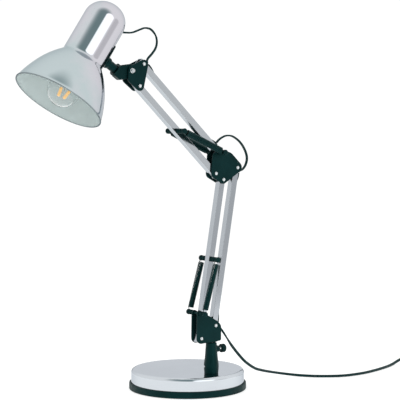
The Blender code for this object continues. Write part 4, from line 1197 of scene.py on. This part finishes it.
def build_tie():
    """A plastic-covered wire tie round one side of the coil."""
    low, high = COIL_INNER - 0.0034, COIL_OUTER + 0.0034
    half = (high - low) / 2
    middle = (high + low) / 2
    top = 0.0070
    shape = bmesh.new()
    outline = rounded([
        (-half, 0.0004, 0.002), (half, 0.0004, 0.002), (half, top, 0.003), (-half, top, 0.003),
    ], steps=5)
    ring = [Vector((-(middle + x), 0.0, z)) for x, z in outline]
    ring.append(ring[0])
    section = [(0.0016, 0.0003), (-0.0016, 0.0003), (-0.0016, -0.0003), (0.0016, -0.0003)]
    at = Vector((COIL_CENTRE.x, COIL_CENTRE.y, 0.0))
    path = [at + p for p in ring]
    sweep(path, section, lambda share: Vector((0, 1, 0)), shape)
    return make("coil_tie", shape, "plastic", "base", ("cord_tie",), angle=40.0)


def build_switch():
    at = Matrix.Translation((*SWITCH_CENTRE, 0.0)) @ Matrix.Rotation(SWITCH_HEADING, 4, "Z")
    outline = rounded([
        (-0.0310, -0.0062, 0.004), (-0.0190, -0.0118, 0.006), (0.0190, -0.0118, 0.006),
        (0.0310, -0.0062, 0.004), (0.0310, 0.0062, 0.004), (0.0190, 0.0118, 0.006),
        (-0.0190, 0.0118, 0.006), (-0.0310, 0.0062, 0.004),
    ], steps=5)
    shape = bmesh.new()
    levels = [(0.0002, 0.93), (0.0012, 0.985), (0.0080, 1.0), (0.0083, 0.985), (0.0086, 1.0),
              (0.0135, 0.975), (0.0158, 0.93), (0.0165, 0.86)]

    def shrunk(x, s):
        return x * s if abs(x) < 0.03 else math.copysign(SWITCH_HALF - (1 - s) * 0.02, x)

    rings = [[shape.verts.new((shrunk(x, s), y * s, z)) for x, y in outline] for z, s in levels]
    loft(shape, rings, caps=1)
    well = [shape.verts.new(p) for p in ((-0.0105, -0.0052, 0.0165), (0.0105, -0.0052, 0.0165),
                                         (0.0105, 0.0052, 0.0165), (-0.0105, 0.0052, 0.0165))]
    floor = [shape.verts.new((v.co.x, v.co.y, 0.0085)) for v in well]
    top = rings[-1]
    edges = [shape.edges.get((top[k], top[(k + 1) % len(top)])) for k in range(len(top))]
    edges += [shape.edges.new((well[k], well[(k + 1) % 4])) for k in range(4)]
    bmesh.ops.bridge_loops(shape, edges=edges)
    for k in range(4):
        n = (k + 1) % 4
        shape.faces.new((well[k], well[n], floor[n], floor[k]))
    shape.faces.new(floor)
    case = make("switch_shell", shape, "plastic", "base", ("switch_case",), at, angle=38.0)
    half, high, dip = 0.0098, 0.0046, 0.0026
    rocker_outline = rounded([
        (-half, -0.0020, 0.0005), (half, -0.0034, 0.0005), (half, dip, 0.0008),
        (0.0, high - 0.0026, 0.0060), (-half, high, 0.0010),
    ])
    rocker_at = (Matrix.Translation((*SWITCH_CENTRE, 0.0138))
                 @ Matrix.Rotation(SWITCH_HEADING, 4, "Z"))
    rocker = make("rocker_key", extrude(rocker_outline, -0.0047, 0.0047), "plastic", "rocker",
                  ("switch_rocker",), rocker_at, bevel=0.0004, segments=2)
    pieces = [case, rocker]
    for number, end in ((1, -1), (2, 1)):
        path = [along_floor(SWITCH_CENTRE, SWITCH_HEADING, end * (SWITCH_HALF - 0.001 + 0.0011 * k),
                            0.0, SWITCH_LEAD_Z - 0.00003 * k) for k in range(19)]
        wide = along_floor(Vector((0, 0)), SWITCH_HEADING, 0.0, 1.0, 0.0)
        pieces.append(relief(f"switch_relief_{number}", path, lambda share: wide))
    return pieces


def build_plug():
    at = Matrix.Translation((*PLUG_CENTRE, 0.0)) @ Matrix.Rotation(PLUG_HEADING, 4, "Z")
    outline = [(-0.0188, 0.0040), (-0.0150, 0.0062), (-0.0060, 0.0090), (0.0040, 0.0128),
               (0.0110, 0.0165), (0.0150, 0.0171), (0.0164, 0.0160)]
    outline = [tuple(p) for p in smooth_curve(outline, 4)]
    outline = outline + [(x, -y) for x, y in reversed(outline)]
    shape = bmesh.new()
    levels = [(0.0002, 0.90), (0.0012, 0.96), (0.0035, 0.995), (0.0069, 1.0), (0.0103, 0.995),
              (0.0126, 0.96), (0.0136, 0.90)]
    rings = [[shape.verts.new((x - (1 - s) * (0.02 if x > 0.012 else 0.0), y * s, z))
              for x, y in outline] for z, s in levels]
    loft(shape, rings)
    pieces = [make("plug_shell", shape, "plastic", "base", ("plug_body",), at, angle=45.0)]
    for number, y in ((1, -0.0093), (2, 0.0093)):
        pin = rounded([(0.0, 0.0150), (0.0020, 0.0150), (0.0020, 0.0360, 0.0012), (0.0, 0.0360)])
        pin_at = at @ Matrix.Translation((0.0, y, 0.0069)) @ ALONG_X
        pieces.append(make(f"plug_pin_{number}", spin(pin, 24), "brass", "base", (), pin_at))
    path = [along_floor(PLUG_CENTRE, PLUG_HEADING, -0.0180 - 0.0011 * k, 0.0, 0.0069 - 0.00004 * k)
            for k in range(19)]
    wide = along_floor(Vector((0, 0)), PLUG_HEADING, 0.0, 1.0, 0.0)
    pieces.append(relief("plug_relief", path, lambda share: wide))
    return pieces


# ---------------------------------------------------------------- CAD nodes that stay


def dress_cad():
    for node, look in (("base_weight", "iron"), ("base_plate", "felt"), ("post_bolt", "steel"),
                       ("lampholder", "bakelite"), ("upper_cord_run", "flex"),
                       ("lower_cord_run", "flex")):
        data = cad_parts[node].data
        data.materials.clear()
        data.materials.append(LOOKS[look])


# ---------------------------------------------------------------- studio


BACKDROP = (1.04, 1.04, 1.04, 1.0)


def build_studio():
    floor_shape = bmesh.new()
    bmesh.ops.create_circle(floor_shape, cap_ends=True, segments=96, radius=1.1)
    mesh = mesh_from("floor", floor_shape)
    made, shader = node_material(
        "floor_white", Roughness=0.9, Specular_IOR_Level=0.1, Emission_Color=(1.0, 1.0, 1.0),
        Emission_Strength=0.62,
    )
    tree = made.node_tree
    tree.links.new(mixed(tree, noise(tree, 4.0), (0.47, 0.47, 0.47), (0.48, 0.48, 0.48)),
                   shader.inputs["Base Color"])
    mesh.materials.append(made)
    floor = placed("floor", mesh)
    floor.location = (0.0, 0.0, -0.0004)

    world = bpy.data.worlds.new("studio")
    world.use_nodes = True
    tree = world.node_tree
    backdrop = tree.nodes["Background"]
    direction = tree.nodes.new("ShaderNodeTexCoord").outputs["Generated"]
    colour = None
    for towards, core, edge, tone in (
        ((-0.42, -0.66, 0.62), 0.99, 0.66, (0.24, 0.32, 0.33)),
        ((0.59, -0.80, -0.05), 0.99, 0.94, (0.74, 0.74, 0.75)),
        ((-0.02, -0.94, 0.30), 0.945, 0.905, (1.75, 1.75, 1.75)),
        ((0.47, 0.86, -0.21), 0.972, 0.940, (0.02, 0.04, 0.04)),
    ):
        dot = tree.nodes.new("ShaderNodeVectorMath")
        dot.operation = "DOT_PRODUCT"
        dot.inputs[1].default_value = Vector(towards).normalized()
        tree.links.new(direction, dot.inputs[0])
        share = tree.nodes.new("ShaderNodeMapRange")
        share.interpolation_type = "SMOOTHSTEP"
        share.inputs["From Min"].default_value = edge
        share.inputs["From Max"].default_value = core
        tree.links.new(dot.outputs["Value"], share.inputs["Value"])
        blend = tree.nodes.new("ShaderNodeMix")
        blend.data_type = "RGBA"
        blend.inputs[6].default_value = BACKDROP
        if colour:
            tree.links.new(colour, blend.inputs[6])
        blend.inputs[7].default_value = (*tone, 1.0)
        tree.links.new(share.outputs["Result"], blend.inputs[0])
        colour = blend.outputs[2]
    seen = tree.nodes.new("ShaderNodeMix")
    seen.data_type = "RGBA"
    tree.links.new(colour, seen.inputs[6])
    seen.inputs[7].default_value = BACKDROP
    tree.links.new(tree.nodes.new("ShaderNodeLightPath").outputs["Is Camera Ray"], seen.inputs[0])
    tree.links.new(seen.outputs[2], backdrop.inputs["Color"])
    backdrop.inputs["Strength"].default_value = 1.0
    scene.world = world

    for name, place, aim, size, power in (
        ("key", (-1.6, -0.6, 1.9), (-0.05, -0.05, 0.25), 1.2, 10.0),
        ("fill", (1.6, -1.4, 1.3), (0.0, -0.05, 0.25), 1.4, 6.0),
        ("top", (0.2, 0.9, 2.2), (0.0, 0.0, 0.2), 1.6, 9.0),
    ):
        data = bpy.data.lights.new(name, "AREA")
        data.energy = power
        data.size = size
        lamp = placed(name, data)
        lamp.location = place
        lamp.visible_glossy = False
        lamp.rotation_euler = (Vector(place) - Vector(aim)).to_track_quat("Z", "Y").to_euler()
    scene.view_settings.view_transform = "Standard"


build_mains()
build_loops()
build_base()
build_post()
build_yoke()
build_lower_arm()
build_elbow()
build_upper_arm()
build_head_bracket()
build_knuckle()
build_shade()
dress_cad()
build_studio()
